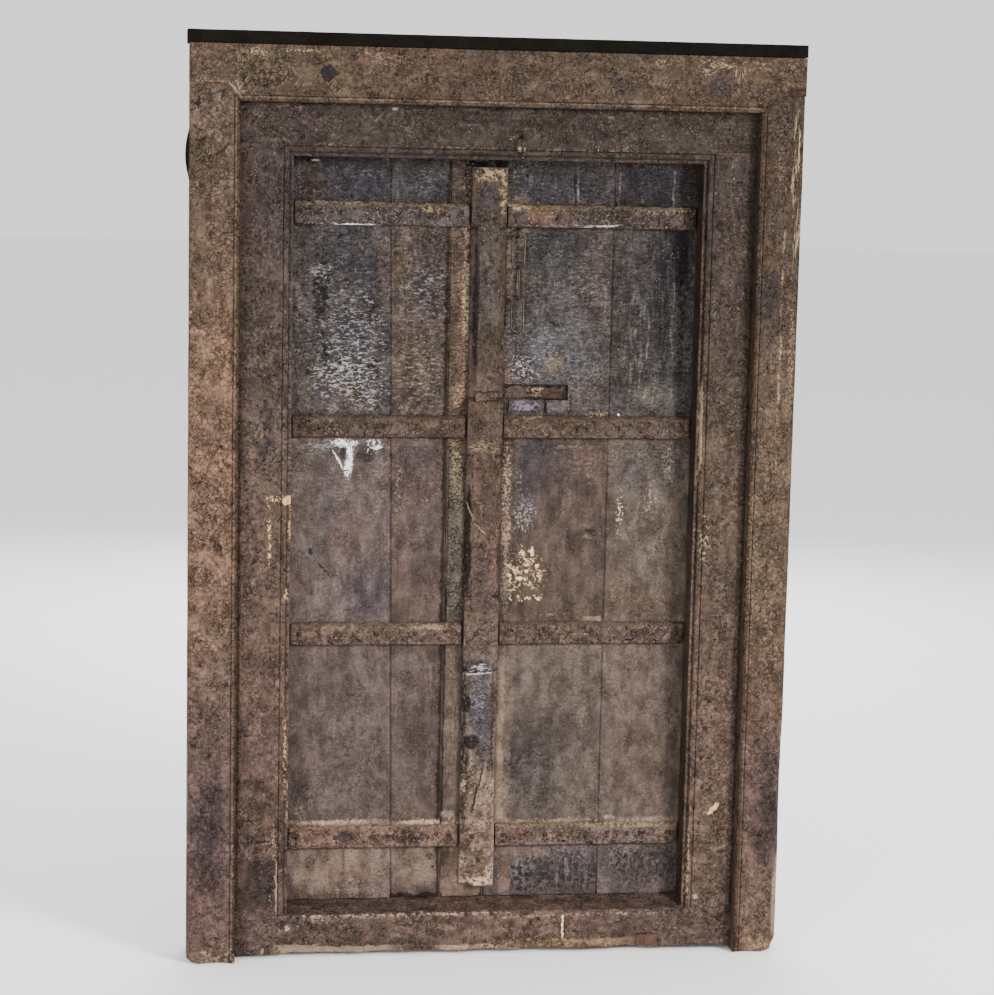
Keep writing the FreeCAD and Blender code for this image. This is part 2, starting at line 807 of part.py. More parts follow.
left_edge = derived("left_leaf_edge", lip_left - half_leaf)
hinge_board_width = derived("hinge_board_width", leaf_width * S["hinge_board_share"])
middle_board_width = derived("middle_board_width", leaf_width * S["middle_board_share"])
right_board_width = derived("right_board_width", leaf_width * S["right_seam_share"])
left_seam = derived("left_seam", left_edge + hinge_board_width)
second_seam = derived("second_seam", left_seam + middle_board_width)
left_meeting = derived("left_meeting_edge", meeting - S["meeting_gap"] / 2)
right_meeting = derived("right_meeting_edge", meeting + S["meeting_gap"] / 2)
right_seam = derived("right_seam", right_meeting + right_board_width)
right_edge = derived("right_leaf_edge", lip_right + half_leaf)
left_hinge = hinge_board("LeftHingeBoard", hinge_board_width, left_edge, False)
left_middle = board("LeftMiddleBoard", middle_board_width, left_seam)
left_edge_board = board("LeftEdgeBoard", left_meeting - second_seam, second_seam)
right_inner = board("RightMeetingBoard", right_board_width, right_meeting)
right_hinge = hinge_board("RightHingeBoard", right_edge - right_seam, right_seam, True)


# Battens, bevelled along their upper edge, one body for each of the eight places.
def batten(name, left_x, length, level):
    body = new_body(name)
    section = new_sketch(body, "YZ_Plane", name + "Section")
    tall = S["batten_height"]
    thick = S["batten_thickness"]
    polygon(
        section,
        [
            (S["batten_bottom_bevel"], 0),
            (0, S["batten_bottom_bevel"]),
            (0, tall - S["batten_top_bevel"]),
            (S["batten_top_bevel"], tall),
            (thick, tall),
            (thick, 0),
        ],
    )
    pad(body, section, length)
    low = lowest_batten + batten_pitch * level - tall / 2
    place(body, left_x, leaf_front - thick, low)
    return body


left_start = derived("left_batten_start", lip_left + S["batten_hinge_gap"])
left_run = derived("left_batten_length", strip_left - S["batten_strip_gap"] - left_start)
right_start_x = derived("right_batten_start", strip_right + S["batten_strip_gap"])
right_run = derived("right_batten_length", lip_right - S["batten_hinge_gap"] - right_start_x)
LEVELS = range(BATTENS)


# Nails: one shape repeated along every batten, five to a batten.
def nail(name, x, y, z):
    half = S["nail_shank"] / 2
    shank = doc.addObject("Part::Box", name + "Shank")
    bind(shank, "Length", S["nail_shank"])
    bind(shank, "Width", S["nail_length"])
    bind(shank, "Height", S["nail_shank"])
    place(shank, x - half, y, z - half)
    crown = doc.addObject("Part::Wedge", name + "Head")
    narrow = S["nail_head_top"] / 2
    broad = S["nail_head"] / 2
    crown.Ymax = 0
    bind(crown, "Ymin", -S["nail_head_height"])
    for axis in ("X", "Z"):
        bind(crown, axis + "min", -narrow)
        bind(crown, axis + "max", narrow)
        bind(crown, axis + "2min", -broad)
        bind(crown, axis + "2max", broad)
    place(crown, x, y, z)
    union = doc.addObject("Part::Fuse", name)
    union.Base = shank
    union.Tool = crown
    return union


NAILS = 5


def nail_field(side, start, length):
    nails = []
    spacing = (length - S["nail_inset"] * 2) / (NAILS - 1)
    for level in LEVELS:
        for column in range(NAILS):
            x = start + S["nail_inset"] + spacing * column
            z = lowest_batten + batten_pitch * level
            name = "Nail" + side + str(level) + str(column)
            nails.append(nail(name, x, leaf_front - S["batten_thickness"], z))
    return cluster(nails, "Nails" + side)


left_nails = nail_field("Left", left_start, left_run)
right_nails = nail_field("Right", right_start_x, right_run)
strip_nail_x = (strip_left + left_meeting) / 2
strip_nails = cluster(
    [
        nail("StripNail" + str(level), strip_nail_x, leaf_front - S["strip_thickness"], height)
        for level, height in enumerate(
            [lowest_batten + batten_pitch * level for level in LEVELS]
        )
    ],
    "StripNails",
)

for level in LEVELS:
    left_batten = batten("LeftBatten" + str(level), left_start, left_run, level)
    holed = minus(left_batten, left_nails, "LeftBattenHoled" + str(level))
    finish(holed, "left_batten_" + str(level + 1))
    right_batten = batten("RightBatten" + str(level), right_start_x, right_run, level)
    holed = minus(right_batten, right_nails, "RightBattenHoled" + str(level))
    finish(holed, "right_batten_" + str(level + 1))

finish(left_nails, "left_batten_nails")
finish(right_nails, "right_batten_nails")
finish(strip_nails, "cover_strip_nails")


# Cover strip: blocks at the battens and stopped chamfers on the shafts between them.
strip = new_body("CoverStrip")
strip_low = derived("strip_low", leaf_bottom + S["strip_bottom_rise"])
strip_high = derived("strip_high", lip_top - S["strip_top_gap"])
strip_height = derived("strip_height", strip_high - strip_low)
wide = S["strip_width"]
thick = S["strip_thickness"]
box(strip, "Additive", "StripBar", (0, 0, 0), (wide, thick, strip_height))
second = lowest_batten + batten_pitch - strip_low
third = second + batten_pitch
shafts = [
    (S["bottom_block"], second - S["lower_block"] / 2),
    (second + S["lower_block"] / 2, third - S["upper_block"] / 2),
    (third + S["upper_block"] / 2, strip_height - S["top_block"]),
]
run = S["chamfer_stop"]
across = S["shaft_chamfer_width"]
inward = S["shaft_chamfer_depth"]
doc.recompute()


def chamfer_section(tool, name, height, size_share, right_side):
    outline = new_sketch(tool, "XY_Plane", name)
    if right_side:
        triangle = [(wide - across * size_share, 0), (wide, inward * size_share), (wide, 0)]
    else:
        triangle = [(0, 0), (across * size_share, 0), (0, inward * size_share)]
    polygon(outline, triangle)
    bind(outline, "AttachmentOffset.Base.z", height)
    outline.Visibility = False
    return outline


def chamfer_tool(name, low, high, right_side):
    tool = new_body(name)
    length = high - low
    stations = [
        (0, run_out_share),
        (run, full_share),
        (length - run, full_share),
        (length, run_out_share),
    ]
    outlines = []
    for index, (height, size_share) in enumerate(stations):
        title = name + "Outline" + str(index)
        outlines.append(chamfer_section(tool, title, height, size_share, right_side))
    loft = tool.newObject("PartDesign::AdditiveLoft", name + "Loft")
    loft.Profile = outlines[0]
    loft.Sections = outlines[1:]
    loft.Ruled = True
    place(tool, strip_left, leaf_front - thick, strip_low + low)
    return tool


run_out_share = 0.04
full_share = 1
tools = []
for index, (low, high) in enumerate(shafts):
    for right_side in (False, True):
        tag = "Chamfer" + str(index) + ("Right" if right_side else "Left")
        tools.append(chamfer_tool(tag, low, high, right_side))
lap_back = thick - S["strip_relief"]
lap_start = left_meeting - strip_left
relief_corner = (lap_start, lap_back, 0)
relief_sizes = (wide - lap_start, S["strip_relief"], strip_height)
box(strip, "Subtractive", "LapRelief", relief_corner, relief_sizes)
place(strip, strip_left, leaf_front - thick, strip_low)
chamfers = cluster(tools, "StripChamfers")
strip_shaped = minus(strip, chamfers, "StripShaped")
finish(minus(strip_shaped, strip_nails, "StripHoled"), "cover_strip")


# Let-in slip and filler block over the place of a former lock on the right leaf.
patch = new_body("Patch")
patch_low = lowest_batten + batten_pitch * 2 + S["batten_height"] / 2 + S["patch_rise"]
patch_sizes = (S["patch_width"], S["patch_thickness"], S["patch_height"])
box(patch, "Additive", "PatchSlip", (0, 0, 0), patch_sizes)
place(patch, strip_right + S["patch_inset"], leaf_front, patch_low)
finish(patch, "lock_patch")
block = new_body("Filler")
block_sizes = (
    S["block_width"],
    S["block_proud"] + S["patch_thickness"],
    S["block_height"],
)
box(block, "Additive", "FillerBlock", (0, 0, 0), block_sizes)
block_x = strip_right + S["block_inset"]
place(block, block_x, leaf_front - S["block_proud"], patch_low - S["block_height"])
finish(block, "lock_filler")
repairs = cluster([patch, block], "Repairs")


# Staple of the leaf and the three links that hang from it.
bow_centre = derived(
    "bow_centre",
    S["chain_standoff"] - S["staple_spread"] / 2 + S["wire_diameter"] + wire / 2,
)
leaf_staple_body = staple(
    "LeafStaple",
    wire,
    S["staple_spread"],
    bow_centre + S["staple_leg"],
    (chain_x, leaf_front - bow_centre, staple_z),
)
finish(leaf_staple_body, "leaf_staple")

right_meeting_holed = minus(right_inner, right_nails, "RightMeetingNailed")
right_meeting_let = minus(right_meeting_holed, repairs, "RightMeetingLetIn")
finish(minus(right_meeting_let, leaf_staple_body, "RightMeetingStapled"), "right_meeting_board")
finish(minus(right_hinge, right_nails, "RightHingeNailed"), "right_hinge_board")
finish(minus(left_hinge, left_nails, "LeftHingeNailed"), "left_hinge_board")
finish(minus(left_middle, left_nails, "LeftMiddleNailed"), "left_middle_board")
edge_nailed = minus(left_edge_board, left_nails, "LeftEdgeNailed")
finish(minus(edge_nailed, strip_nails, "LeftEdgeHoled"), "left_meeting_board")

arch = derived("arch_radius", S["link_width"] / 2 - wire)
straight = derived("link_straight", S["link_length"] - S["wire_diameter"] - arch * 2)
pitch = derived("link_pitch", S["link_length"] - S["wire_diameter"])
hang = S["wire_diameter"] + S["link_slack"]
upper_top = derived("upper_link_top", staple_z - S["staple_spread"] / 2 + hang)
middle_top = derived("middle_link_top", upper_top - pitch + hang)
lower_top = derived("lower_link_top", middle_top - pitch + hang)
chain_y = derived("chain_y", leaf_front - S["chain_standoff"])


def link(name, top, edge_on):
    parts = []
    quarter = 90 if edge_on else 0
    for tag, flip, height in (("Top", 0, top - arch), ("Bottom", 180, top - arch - straight)):
        turn = FreeCAD.Rotation(quarter, 0, flip)
        parts.append(half_ring(name + tag, arch, wire, (chain_x, chain_y, height), turn))
    for tag, sign in (("Near", 1), ("Far", -1)):
        x = chain_x if edge_on else chain_x + arch * sign
        y = chain_y + arch * sign if edge_on else chain_y
        low = top - arch - straight
        parts.append(faceted_bar(name + tag, wire, straight, (x, y, low), (0, 0, 1)))
    union = doc.addObject("Part::MultiFuse", name)
    union.Shapes = parts
    return union


finish(link("UpperLink", upper_top, False), "chain_link_upper")
finish(link("MiddleLink", middle_top, True), "chain_link_middle")
finish(link("LowerLink", lower_top, False), "chain_link_lower")

doc.recompute()
for obj in doc.Objects:
    if "Invalid" in obj.State or "Error" in obj.State:
        raise RuntimeError(obj.Name + " did not recompute: " + str(obj.State))
for obj in FINISHED:
    shape = obj.Shape
    if shape.isNull() or not shape.isValid():
        raise RuntimeError(obj.Label + " has no sound shape")
    shape.exportStep("parts/" + obj.Label + ".step")
    print(obj.Label, len(shape.Solids), round(shape.Volume, 1), shape.BoundBox)
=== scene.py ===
import json
import math

import bmesh
import bpy
import numpy as np
from mathutils import Matrix, Vector, noise

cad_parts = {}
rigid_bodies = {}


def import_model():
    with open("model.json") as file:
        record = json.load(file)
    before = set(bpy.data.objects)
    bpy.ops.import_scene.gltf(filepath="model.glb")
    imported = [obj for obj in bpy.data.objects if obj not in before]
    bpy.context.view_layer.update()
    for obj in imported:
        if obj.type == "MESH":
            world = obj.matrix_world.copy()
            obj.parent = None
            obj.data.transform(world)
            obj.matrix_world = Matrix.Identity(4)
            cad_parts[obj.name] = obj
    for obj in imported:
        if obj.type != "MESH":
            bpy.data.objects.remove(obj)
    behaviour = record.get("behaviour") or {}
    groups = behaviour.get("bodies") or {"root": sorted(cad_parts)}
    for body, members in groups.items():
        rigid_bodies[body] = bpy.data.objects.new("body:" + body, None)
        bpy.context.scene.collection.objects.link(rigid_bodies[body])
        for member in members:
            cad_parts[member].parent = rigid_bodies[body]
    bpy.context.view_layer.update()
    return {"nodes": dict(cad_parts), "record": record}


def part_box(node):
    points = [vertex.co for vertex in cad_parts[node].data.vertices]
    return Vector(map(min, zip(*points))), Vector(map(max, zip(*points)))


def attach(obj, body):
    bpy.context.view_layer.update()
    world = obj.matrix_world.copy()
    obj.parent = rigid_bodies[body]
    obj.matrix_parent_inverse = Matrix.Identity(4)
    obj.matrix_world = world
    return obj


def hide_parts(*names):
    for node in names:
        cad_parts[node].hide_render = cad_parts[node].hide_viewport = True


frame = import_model()
nodes = frame["nodes"]
members = frame["record"]["behaviour"]["bodies"]
bodyOf = {node: body for body in members for node in members[body]}

# camera, at the photograph's viewing angle
view = {
    "eye": Vector((-0.65752, -4.97665, 1.6425)),
    "yaw": 7.70663,  # degrees, to the right
    "pitch": 7.8518,  # degrees, down
    "roll": 1.21203,
    "reach": 2500.906,  # focal length in pixels of the picture
    "width": 994,
    "height": 995,
    "sensor": 36,
    "far": 200,
}


def viewAxes():
    yaw, pitch, roll = (math.radians(view[key]) for key in ("yaw", "pitch", "roll"))
    level = Vector((math.sin(yaw), math.cos(yaw), 0))
    side = Vector((math.cos(yaw), -math.sin(yaw), 0))
    ahead = level * math.cos(pitch) - Vector((0, 0, 1)) * math.sin(pitch)
    above = level * math.sin(pitch) + Vector((0, 0, 1)) * math.cos(pitch)
    right = side * math.cos(roll) + above * math.sin(roll)
    up = above * math.cos(roll) - side * math.sin(roll)
    return right, up, ahead


right, up, ahead = viewAxes()


def spotOn(px, py, y):
    # the point of the upright plane at y that the picture shows at px, py
    acrossShare = (px - view["width"] / 2) / view["reach"]
    downShare = (py - view["height"] / 2) / view["reach"]
    ray = ahead + right * acrossShare - up * downShare
    return view["eye"] + ray * ((y - view["eye"].y) / ray.y)


bpy.ops.object.camera_add(location=view["eye"])
camera = bpy.context.object
camera.name = "photo_camera"
turned = Matrix((right, up, -ahead)).transposed().to_4x4()
camera.matrix_world = Matrix.Translation(view["eye"]) @ turned
camera.data.sensor_fit = "HORIZONTAL"
camera.data.sensor_width = view["sensor"]
camera.data.lens = view["sensor"] * view["reach"] / view["width"]
camera.data.clip_end = view["far"]
bpy.context.scene.camera = camera

# soft studio light: name, place, target, size, power, colour
studio = {
    "world": (0.97, 0.975, 1.0, 1),
    "worldStrength": 1.35,
    "lights": [
        ("key_light", (3.4, -4.5, 2.7), (0, 0, 0.8), 1.2, 680, (1.0, 0.97, 0.93)),
        ("fill_light", (-3.6, -4.4, 1.1), (0, 0, 0.8), 2.4, 260, (0.97, 0.98, 1.0)),
        ("back_light", (0.5, 4.5, 3.0), (0, 0, 1.0), 3.0, 260, (1.0, 1.0, 1.0)),
    ],
}
world = bpy.data.worlds.new("studio")
world.use_nodes = True
backdrop = world.node_tree.nodes["Background"].inputs
backdrop["Color"].default_value = studio["world"]
backdrop["Strength"].default_value = studio["worldStrength"]
bpy.context.scene.world = world
for name, place, target, size, power, colour in studio["lights"]:
    bpy.ops.object.light_add(type="AREA", location=place)
    light = bpy.context.object
    light.name = name
    light.rotation_euler = (Vector(target) - Vector(place)).to_track_quat("-Z", "Y").to_euler()
    light.data.size = size
    light.data.energy = power
    light.data.color = colour
print("camera and lights are set")


# tones, named by what the picture shows (0 to 255)
# response: what the picture shows for a grey of each reflectance in this light
response = {
    "shown": (27, 35, 45, 59, 77, 95, 112, 133, 151, 167, 181, 195, 206, 217, 226),
    "albedo": (0.0005, 0.002, 0.005, 0.01, 0.018, 0.028, 0.04, 0.06, 0.085, 0.12, 0.17, 0.24, 0.34, 0.5, 0.7),
}
palette = {
    "umber": (88, 72, 60),
    "brown": (106, 88, 72),
    "olive": (112, 98, 76),
    "tan": (134, 112, 90),
    "rust": (112, 76, 60),
    "rose": (146, 112, 98),
    "mauve": (92, 78, 76),
    "plum": (62, 52, 56),
    "violet": (86, 78, 90),
    "slate": (62, 62, 70),
    "steel": (104, 104, 110),
    "soot": (34, 31, 33),
    "black": (16, 14, 14),
    "ash": (136, 130, 128),
    # painted reflection on glossy wrinkled paint
    "silver": (178, 176, 180),
    "beige": (158, 142, 122),
    "cream": (200, 184, 154),
    "butter": (226, 208, 170),
    "white": (232, 230, 228),
    "moss": (92, 88, 58),
    "bare": (170, 138, 104),
    "old": (112, 94, 76),
    "glint": (204, 192, 174),
}
fading = {"from": 138, "over": 50, "share": 0.32}  # light tones come out stronger than asked for


def tone(name):
    colour = palette[name] if isinstance(name, str) else name
    middle = sum(colour) / 3
    keep = 1 - fading["share"] * min(max((middle - fading["from"]) / fading["over"], 0), 1)
    colour = [middle + (channel - middle) * keep for channel in colour]
    shown = np.interp(colour, response["shown"], response["albedo"])
    return tuple(float(channel) for channel in shown) + (1.0,)


class Wire:  # one output socket; sums on it become Math nodes
    def __init__(self, maker, socket):
        self.maker, self.socket = maker, socket

    def run(self, operation, *values, clamp=False):
        settings = {"operation": operation, "use_clamp": clamp}
        return self.maker.add("ShaderNodeMath", settings, dict(enumerate(values)))

    def __add__(self, other):
        return self.run("ADD", self, other)

    def __sub__(self, other):
        return self.run("SUBTRACT", self, other)

    def __rsub__(self, other):
        return self.run("SUBTRACT", other, self)

    def __mul__(self, other):
        return self.run("MULTIPLY", self, other)

    def __truediv__(self, other):
        return self.run("DIVIDE", self, other)

    __radd__ = __add__
    __rmul__ = __mul__

    def high(self, other):
        return self.run("MAXIMUM", self, other)

    def low(self, other):
        return self.run("MINIMUM", self, other)

    def size(self):
        return self.run("ABSOLUTE", self)

    def held(self):
        return self.run("ADD", self, 0, clamp=True)


class Maker:  # builds the nodes of one material
    def __init__(self, name):
        self.material = bpy.data.materials.new(name)
        self.material.use_nodes = True
        self.tree = self.material.node_tree
        self.skin = self.tree.nodes["Principled BSDF"]
        self.at = self.add("ShaderNodeTexCoord", out="Object")

    def add(self, kind, settings=None, inputs=None, out=0):
        node = self.tree.nodes.new(kind)
        for key, value in (settings or {}).items():
            if key == "stops":
                self.setStops(node.color_ramp.elements, value)
            else:
                setattr(node, key, value)
        for key, value in (inputs or {}).items():
            self.join(node.inputs[key], value)
        return Wire(self, node.outputs[out])

    def setStops(self, ramp, stops):
        while len(ramp) > 1:
            ramp.remove(ramp[-1])
        for number, (place, colour) in enumerate(stops):
            stop = ramp[0] if number == 0 else ramp.new(place)
            stop.position, stop.color = place, colour

    def join(self, socket, value):
        if isinstance(value, Wire):
            self.tree.links.new(value.socket, socket)
        else:
            socket.default_value = value

    def feed(self, socket, value):
        self.join(self.skin.inputs[socket], value)

    def vector(self, operation, *values, out=0):
        return self.add("ShaderNodeVectorMath", {"operation": operation}, dict(enumerate(values)), out)

    def scaled(self, wire, amounts):
        return self.vector("MULTIPLY", wire, amounts)

    def parts(self, wire):
        node = self.tree.nodes.new("ShaderNodeSeparateXYZ")
        self.tree.links.new(wire.socket, node.inputs[0])
        return [Wire(self, output) for output in node.outputs]

    def noise(self, size, detail=3, rough=0.55, twist=0.0, stretch=(1, 1, 1), at=None, out="Fac"):
        place = at or self.at
        if stretch != (1, 1, 1):
            place = self.scaled(place, stretch)
        inputs = {"Vector": place, "Scale": 1 / size, "Detail": detail, "Roughness": rough}
        inputs["Distortion"] = twist
        return self.add("ShaderNodeTexNoise", {}, inputs, out)

    def cells(self, size, feature, at, out):
        inputs = {"Vector": at, "Scale": 1 / size}
        return self.add("ShaderNodeTexVoronoi", {"feature": feature}, inputs, out)

    def smooth(self, wire, low, high, start=0.0, end=1.0):
        inputs = {0: wire, 1: low, 2: high, 3: start, 4: end}
        return self.add("ShaderNodeMapRange", {"interpolation_type": "SMOOTHSTEP"}, inputs)

    def mix(self, share, first, second, mode="MIX"):
        settings = {"data_type": "RGBA", "blend_type": mode, "clamp_factor": True}
        return self.add("ShaderNodeMix", settings, {0: share, 6: first, 7: second}, 2)

    def bump(self, height, depth):
        return self.add("ShaderNodeBump", {}, {"Strength": 1, "Distance": depth, "Height": height})

    def attribute(self, name):
        return self.add("ShaderNodeAttribute", {"attribute_name": name}, out="Fac")

    def swing(self, size, detail, rough):
        # noise on each axis, about zero
        return self.vector("SUBTRACT", self.noise(size, detail, rough, out="Color"), (0.5, 0.5, 0.5))

    def moved(self, place, swing, reach):
        return self.vector("ADD", place, self.scaled(swing, (reach, reach, reach)))


pixel = 0.00199  # one pixel of the picture on the door, in metres


def dab(px, py, wide, high, colour, amount=1.0, grain="solid", cover=0.5, soft=0.5, **rest):
    # one mark by its place in the picture, with half sizes in pixels
    mark = {"turn": 0.0, "box": False, "gloss": None, "lift": 0.0, "late": False}
    mark.update(px=px, py=py, wide=wide, high=high, colour=colour, amount=amount, **rest)
    mark.update(grain=grain, cover=cover, soft=soft)
    return mark


def broken(grain):
    # a kind of mark that a grain breaks up, more or less covered
    def mark(px, py, wide, high, colour, amount, cover, **rest):
        return dab(px, py, wide, high, colour, amount, grain, cover, **rest)

    return mark


kinds = ("patch", "lump", "fine", "streak", "wrinkle", "grain", "crackle", "torn")
patch, lump, fine, streak, wrinkle, grain, crackle, torn = map(broken, kinds)

plain = {  # the look of a piece where nothing else is said; lengths in metres, the rest in shares
    "axis": "z",  # the grain and the tones run along this axis
    "tones": [(0.0, "brown"), (1.0, "brown")],
    "second": "umber",
    "secondShare": 0.4,
    "plane": -0.06,  # y of the face that carries the marks
    "marks": [],
    "bands": [],  # (axis, from, to, colour, amount)
    "bare": None,  # y beyond which the wood was never painted
    "cell": 0.011,
    "crack": 0.5,
    "crackWidth": 0.12,
    "crackRegion": 0.52,
    "smoothFoot": False,
    "island": 0.15,
    "fleck": 0.7,
    # light flecks: dust, with painted sheen on the crests
    "fleckCover": 0.36,
    "fleckTone": (176, 160, 142),
    "glint": 0.55,
    "pit": 0.7,
    "streak": 0.2,
    "rough": (0.42, 0.7),
    "depth": 0.0024,
    "dust": None,  # (z from, z to): a dusty upper edge
    "dustTone": "beige",
    "specular": 0.07,
    "mottle": 0.75,
    "grit": 0.5,
    "drip": 0.3,
    "stain": 0.75,
    "curl": 0.5,
    "lump": 0.0068,
    "ripple": 0.0,
    # edge tone: wear on the frames and battens, the dark seam line on the boards, a painted highlight on the
    # iron
    "worn": 0.4,
    "wornTone": "tan",
    "wornFrom": 0.82,
    # painted shade: how far the grooves are darkened toward black
    "grime": 0.7,
}
door = {"tall": 1.867, "left": 0.6115, "wide": 1.226}  # the tones are spread over this
lowBoards = {"from": 0.9, "to": 1.2}  # the boards are worn smooth below this height
grainSizes = {  # lengths in metres
    "warp": 0.03,
    "tear": 0.009,
    "blotch": 0.11,
    "patchy": 0.035,
    "crusted": 0.06,
    "run": 0.02,
    "stain": 0.024,
    "skin": 0.016,
    "cracked": 0.05,
    "torn": 0.012,
    "fine": 0.0036,
    "wrinkle": 0.0046,
    "streak": 0.006,
    "patch": 0.009,
    "wood": 0.004,
    "figure": 0.03,
}
reach = {  # lengths in metres
    "warp": 0.012,
    "tear": 0.008,
    "bandEdge": 0.0012,
    "bandTear": 0.003,
    "dustTear": 0.02,
    "bareTear": 0.012,
}


class Coat(Maker):  # the paint of one piece, laid on from the ground up
    def __init__(self, name, look):
        super().__init__(name)
        self.name, self.look = name, look
        self.upright = look["axis"] == "z"
        self.along = (1, 1, 0.12) if self.upright else (0.12, 1, 1)
        self.x, self.y, self.z = self.parts(self.at)
        warp = self.swing(grainSizes["warp"], 4, 0.6)
        tear = self.swing(grainSizes["tear"], 3, 0.65)
        self.ragged = self.moved(self.moved(self.at, tear, reach["tear"]), warp, reach["warp"])
        bent = self.moved(self.ragged, warp, reach["warp"])
        self.blotch = self.noise(grainSizes["blotch"], 5, 0.62)
        self.patchy = self.noise(grainSizes["patchy"], 4, 0.6)
        self.gap = self.cells(look["cell"], "DISTANCE_TO_EDGE", bent, "Distance")
        self.shade = self.parts(self.cells(look["cell"], "F1", bent, "Color"))[0]
        self.grains = {
            "torn": self.noise(grainSizes["torn"], 5, 0.7),
            "fine": self.noise(grainSizes["fine"], 3, 0.65),
            "wrinkle": self.noise(grainSizes["wrinkle"], 3, 0.62, 0.8, stretch=(0.42, 1, 1.15)),
            "streak": self.noise(grainSizes["streak"], 4, 0.65, 0.3, stretch=(1, 1, 0.12)),
            "grain": self.noise(grainSizes["streak"], 4, 0.6, 0.2, stretch=self.along),
            "patch": self.noise(grainSizes["patch"], 4, 0.68, 0.5),
            "lump": self.noise(look["lump"], 3, 0.6, 0.5),
            "crackle": 1 - self.gap * 3.2,
        }
        self.fine, self.torn = self.grains["fine"], self.grains["torn"]
        self.lumps = self.smooth(self.grains["lump"], 0.36, 0.64)
        # where the paint is crusted, and where it lies smooth
        self.coarse = self.smooth(self.noise(grainSizes["crusted"], 4, 0.65, 0.4), 0.38, 0.6)
        self.rest = self.lowDown(0.5) if look["ripple"] else 1.0

    def lowDown(self, share):  # share low down on the boards, 1 above
        return self.smooth(self.z, lowBoards["from"], lowBoards["to"], share, 1.0)

    def lay(self, share, colour, mode="MIX"):
        self.colour = self.mix(share, self.colour, colour, mode)

    def toward(self, share, name):  # the colour so far, part of the way to a tone
        return self.mix(share, self.colour, tone(name))

    def layGround(self):
        look = self.look
        place = self.z / door["tall"] if self.upright else (self.x + door["left"]) / door["wide"]
        place = place + (self.blotch - 0.5) * 0.05
        stops = [(at, tone(name)) for at, name in look["tones"]]
        self.colour = self.add("ShaderNodeValToRGB", {"stops": stops}, {0: place})
        self.lay(self.smooth(self.patchy, 0.42, 0.62) * look["secondShare"], tone(look["second"]))
        self.lay(self.smooth(self.blotch, 0.38, 0.68) * 0.3, self.toward(0.4, "black"))
        grain = self.grains["streak" if self.upright else "grain"]
        self.lay(self.smooth(grain, 0.45, 0.7) * look["streak"], tone("ash"))
        self.lay(look["island"], self.mix(self.shade, self.toward(0.4, "black"), self.toward(0.3, "beige")))
        run = self.smooth(self.noise(grainSizes["run"], 4, 0.6, 0.3, stretch=self.along), 0.5, 0.66)
        self.lay(run * look["drip"], self.toward(0.55, "soot"))
        self.height = self.patchy * 0.3 + self.lumps * (self.coarse * 0.35 + 0.2) + self.fine * 0.3
        self.rough = self.smooth(self.blotch, 0.3, 0.7, look["rough"][0], look["rough"][1])

    def layBands(self):
        for axis, low, high, shown, amount in self.look["bands"]:
            run = {"x": self.x, "z": self.z}[axis] + (self.torn - 0.5) * reach["bandTear"]
            edge = reach["bandEdge"]
            inside = self.smooth(run, low - edge, low + edge)
            inside = inside * self.smooth(run, high - edge, high + edge, 1, 0)
            self.lay(inside * amount, tone(shown))

    def mask(self, mark):
        centre = spotOn(mark["px"], mark["py"], self.look["plane"])
        local = self.vector("SUBTRACT", self.ragged, (centre.x, 0, centre.z))
        if mark["turn"]:
            inputs = {"Vector": local, "Angle": math.radians(mark["turn"])}
            local = self.add("ShaderNodeVectorRotate", {"rotation_type": "Y_AXIS"}, inputs)
        local = self.scaled(local, (1 / (mark["wide"] * pixel), 0, 1 / (mark["high"] * pixel)))
        if mark["box"]:
            x, y, z = self.parts(self.vector("ABSOLUTE", local))
            depth = 1 - x.high(z)
        else:
            depth = 1 - self.vector("LENGTH", local, out="Value")
        if mark["grain"] != "solid":
            field = self.grains[mark["grain"]] + depth.low(0.6) * 0.12
            edge = 0.78 - mark["cover"] * 0.4
            return self.smooth(field, edge, edge + 0.1) * self.smooth(depth, -0.5, 0.25) * mark["amount"]
        soft = mark["soft"]
        rim = depth + (self.torn - 0.5) * (0.15 + 1.35 * soft)
        inside = self.smooth(rim, -0.35 * soft - 0.05, 0.45 * soft + 0.05)
        if soft > 0.6:  # a broad stain is worn through here and there
            inside = inside * self.smooth(self.grains["patch"], 0.36, 0.56, 0.55, 1.0)
        return inside * mark["amount"]

    def layStains(self):  # the dark marks lie under the crust
        self.masks = [self.mask(mark) for mark in self.look["marks"]]
        for mark, mask in zip(self.look["marks"], self.masks):
            if not isLight(mark):
                self.lay(mask, self.toward(0.88, mark["colour"]))
            if mark["gloss"] is not None:
                self.rough = self.rough * (1 - mask) + mask * mark["gloss"]
            if mark["lift"]:
                self.height = self.height + mask * mark["lift"]

    def layCrust(self):  # dark between the lumps, and on smoke-stained boards between the wrinkles
        look = self.look
        share = (self.coarse * 0.65 + 0.35) * look["mottle"]
        crust = self.mix(share, (1, 1, 1, 1), self.lumps * 1.05 + 0.48)
        grit = self.smooth(self.fine, 0.34, 0.66) * 0.9 + 0.58
        crust = self.mix((self.coarse * 0.5 + 0.5) * look["grit"] * self.rest, crust, grit, "MULTIPLY")
        if look["ripple"]:
            ripple = self.smooth(self.grains["wrinkle"], 0.38, 0.62)
            share = self.lowDown(0.2) * look["ripple"]
            crust = self.mix(share, crust, ripple * 1.2 + 0.4, "MULTIPLY")
            self.height = self.height + ripple * share * 0.5
        self.lay(1.0, crust, "MULTIPLY")
        stretch = (1, 1, 0.6) if self.upright else (0.6, 1, 1)
        stain = self.smooth(self.noise(grainSizes["stain"], 4, 0.62, 0.3, stretch=stretch), 0.34, 0.66)
        self.lay(look["stain"], stain * 0.9 + 0.6, "MULTIPLY")

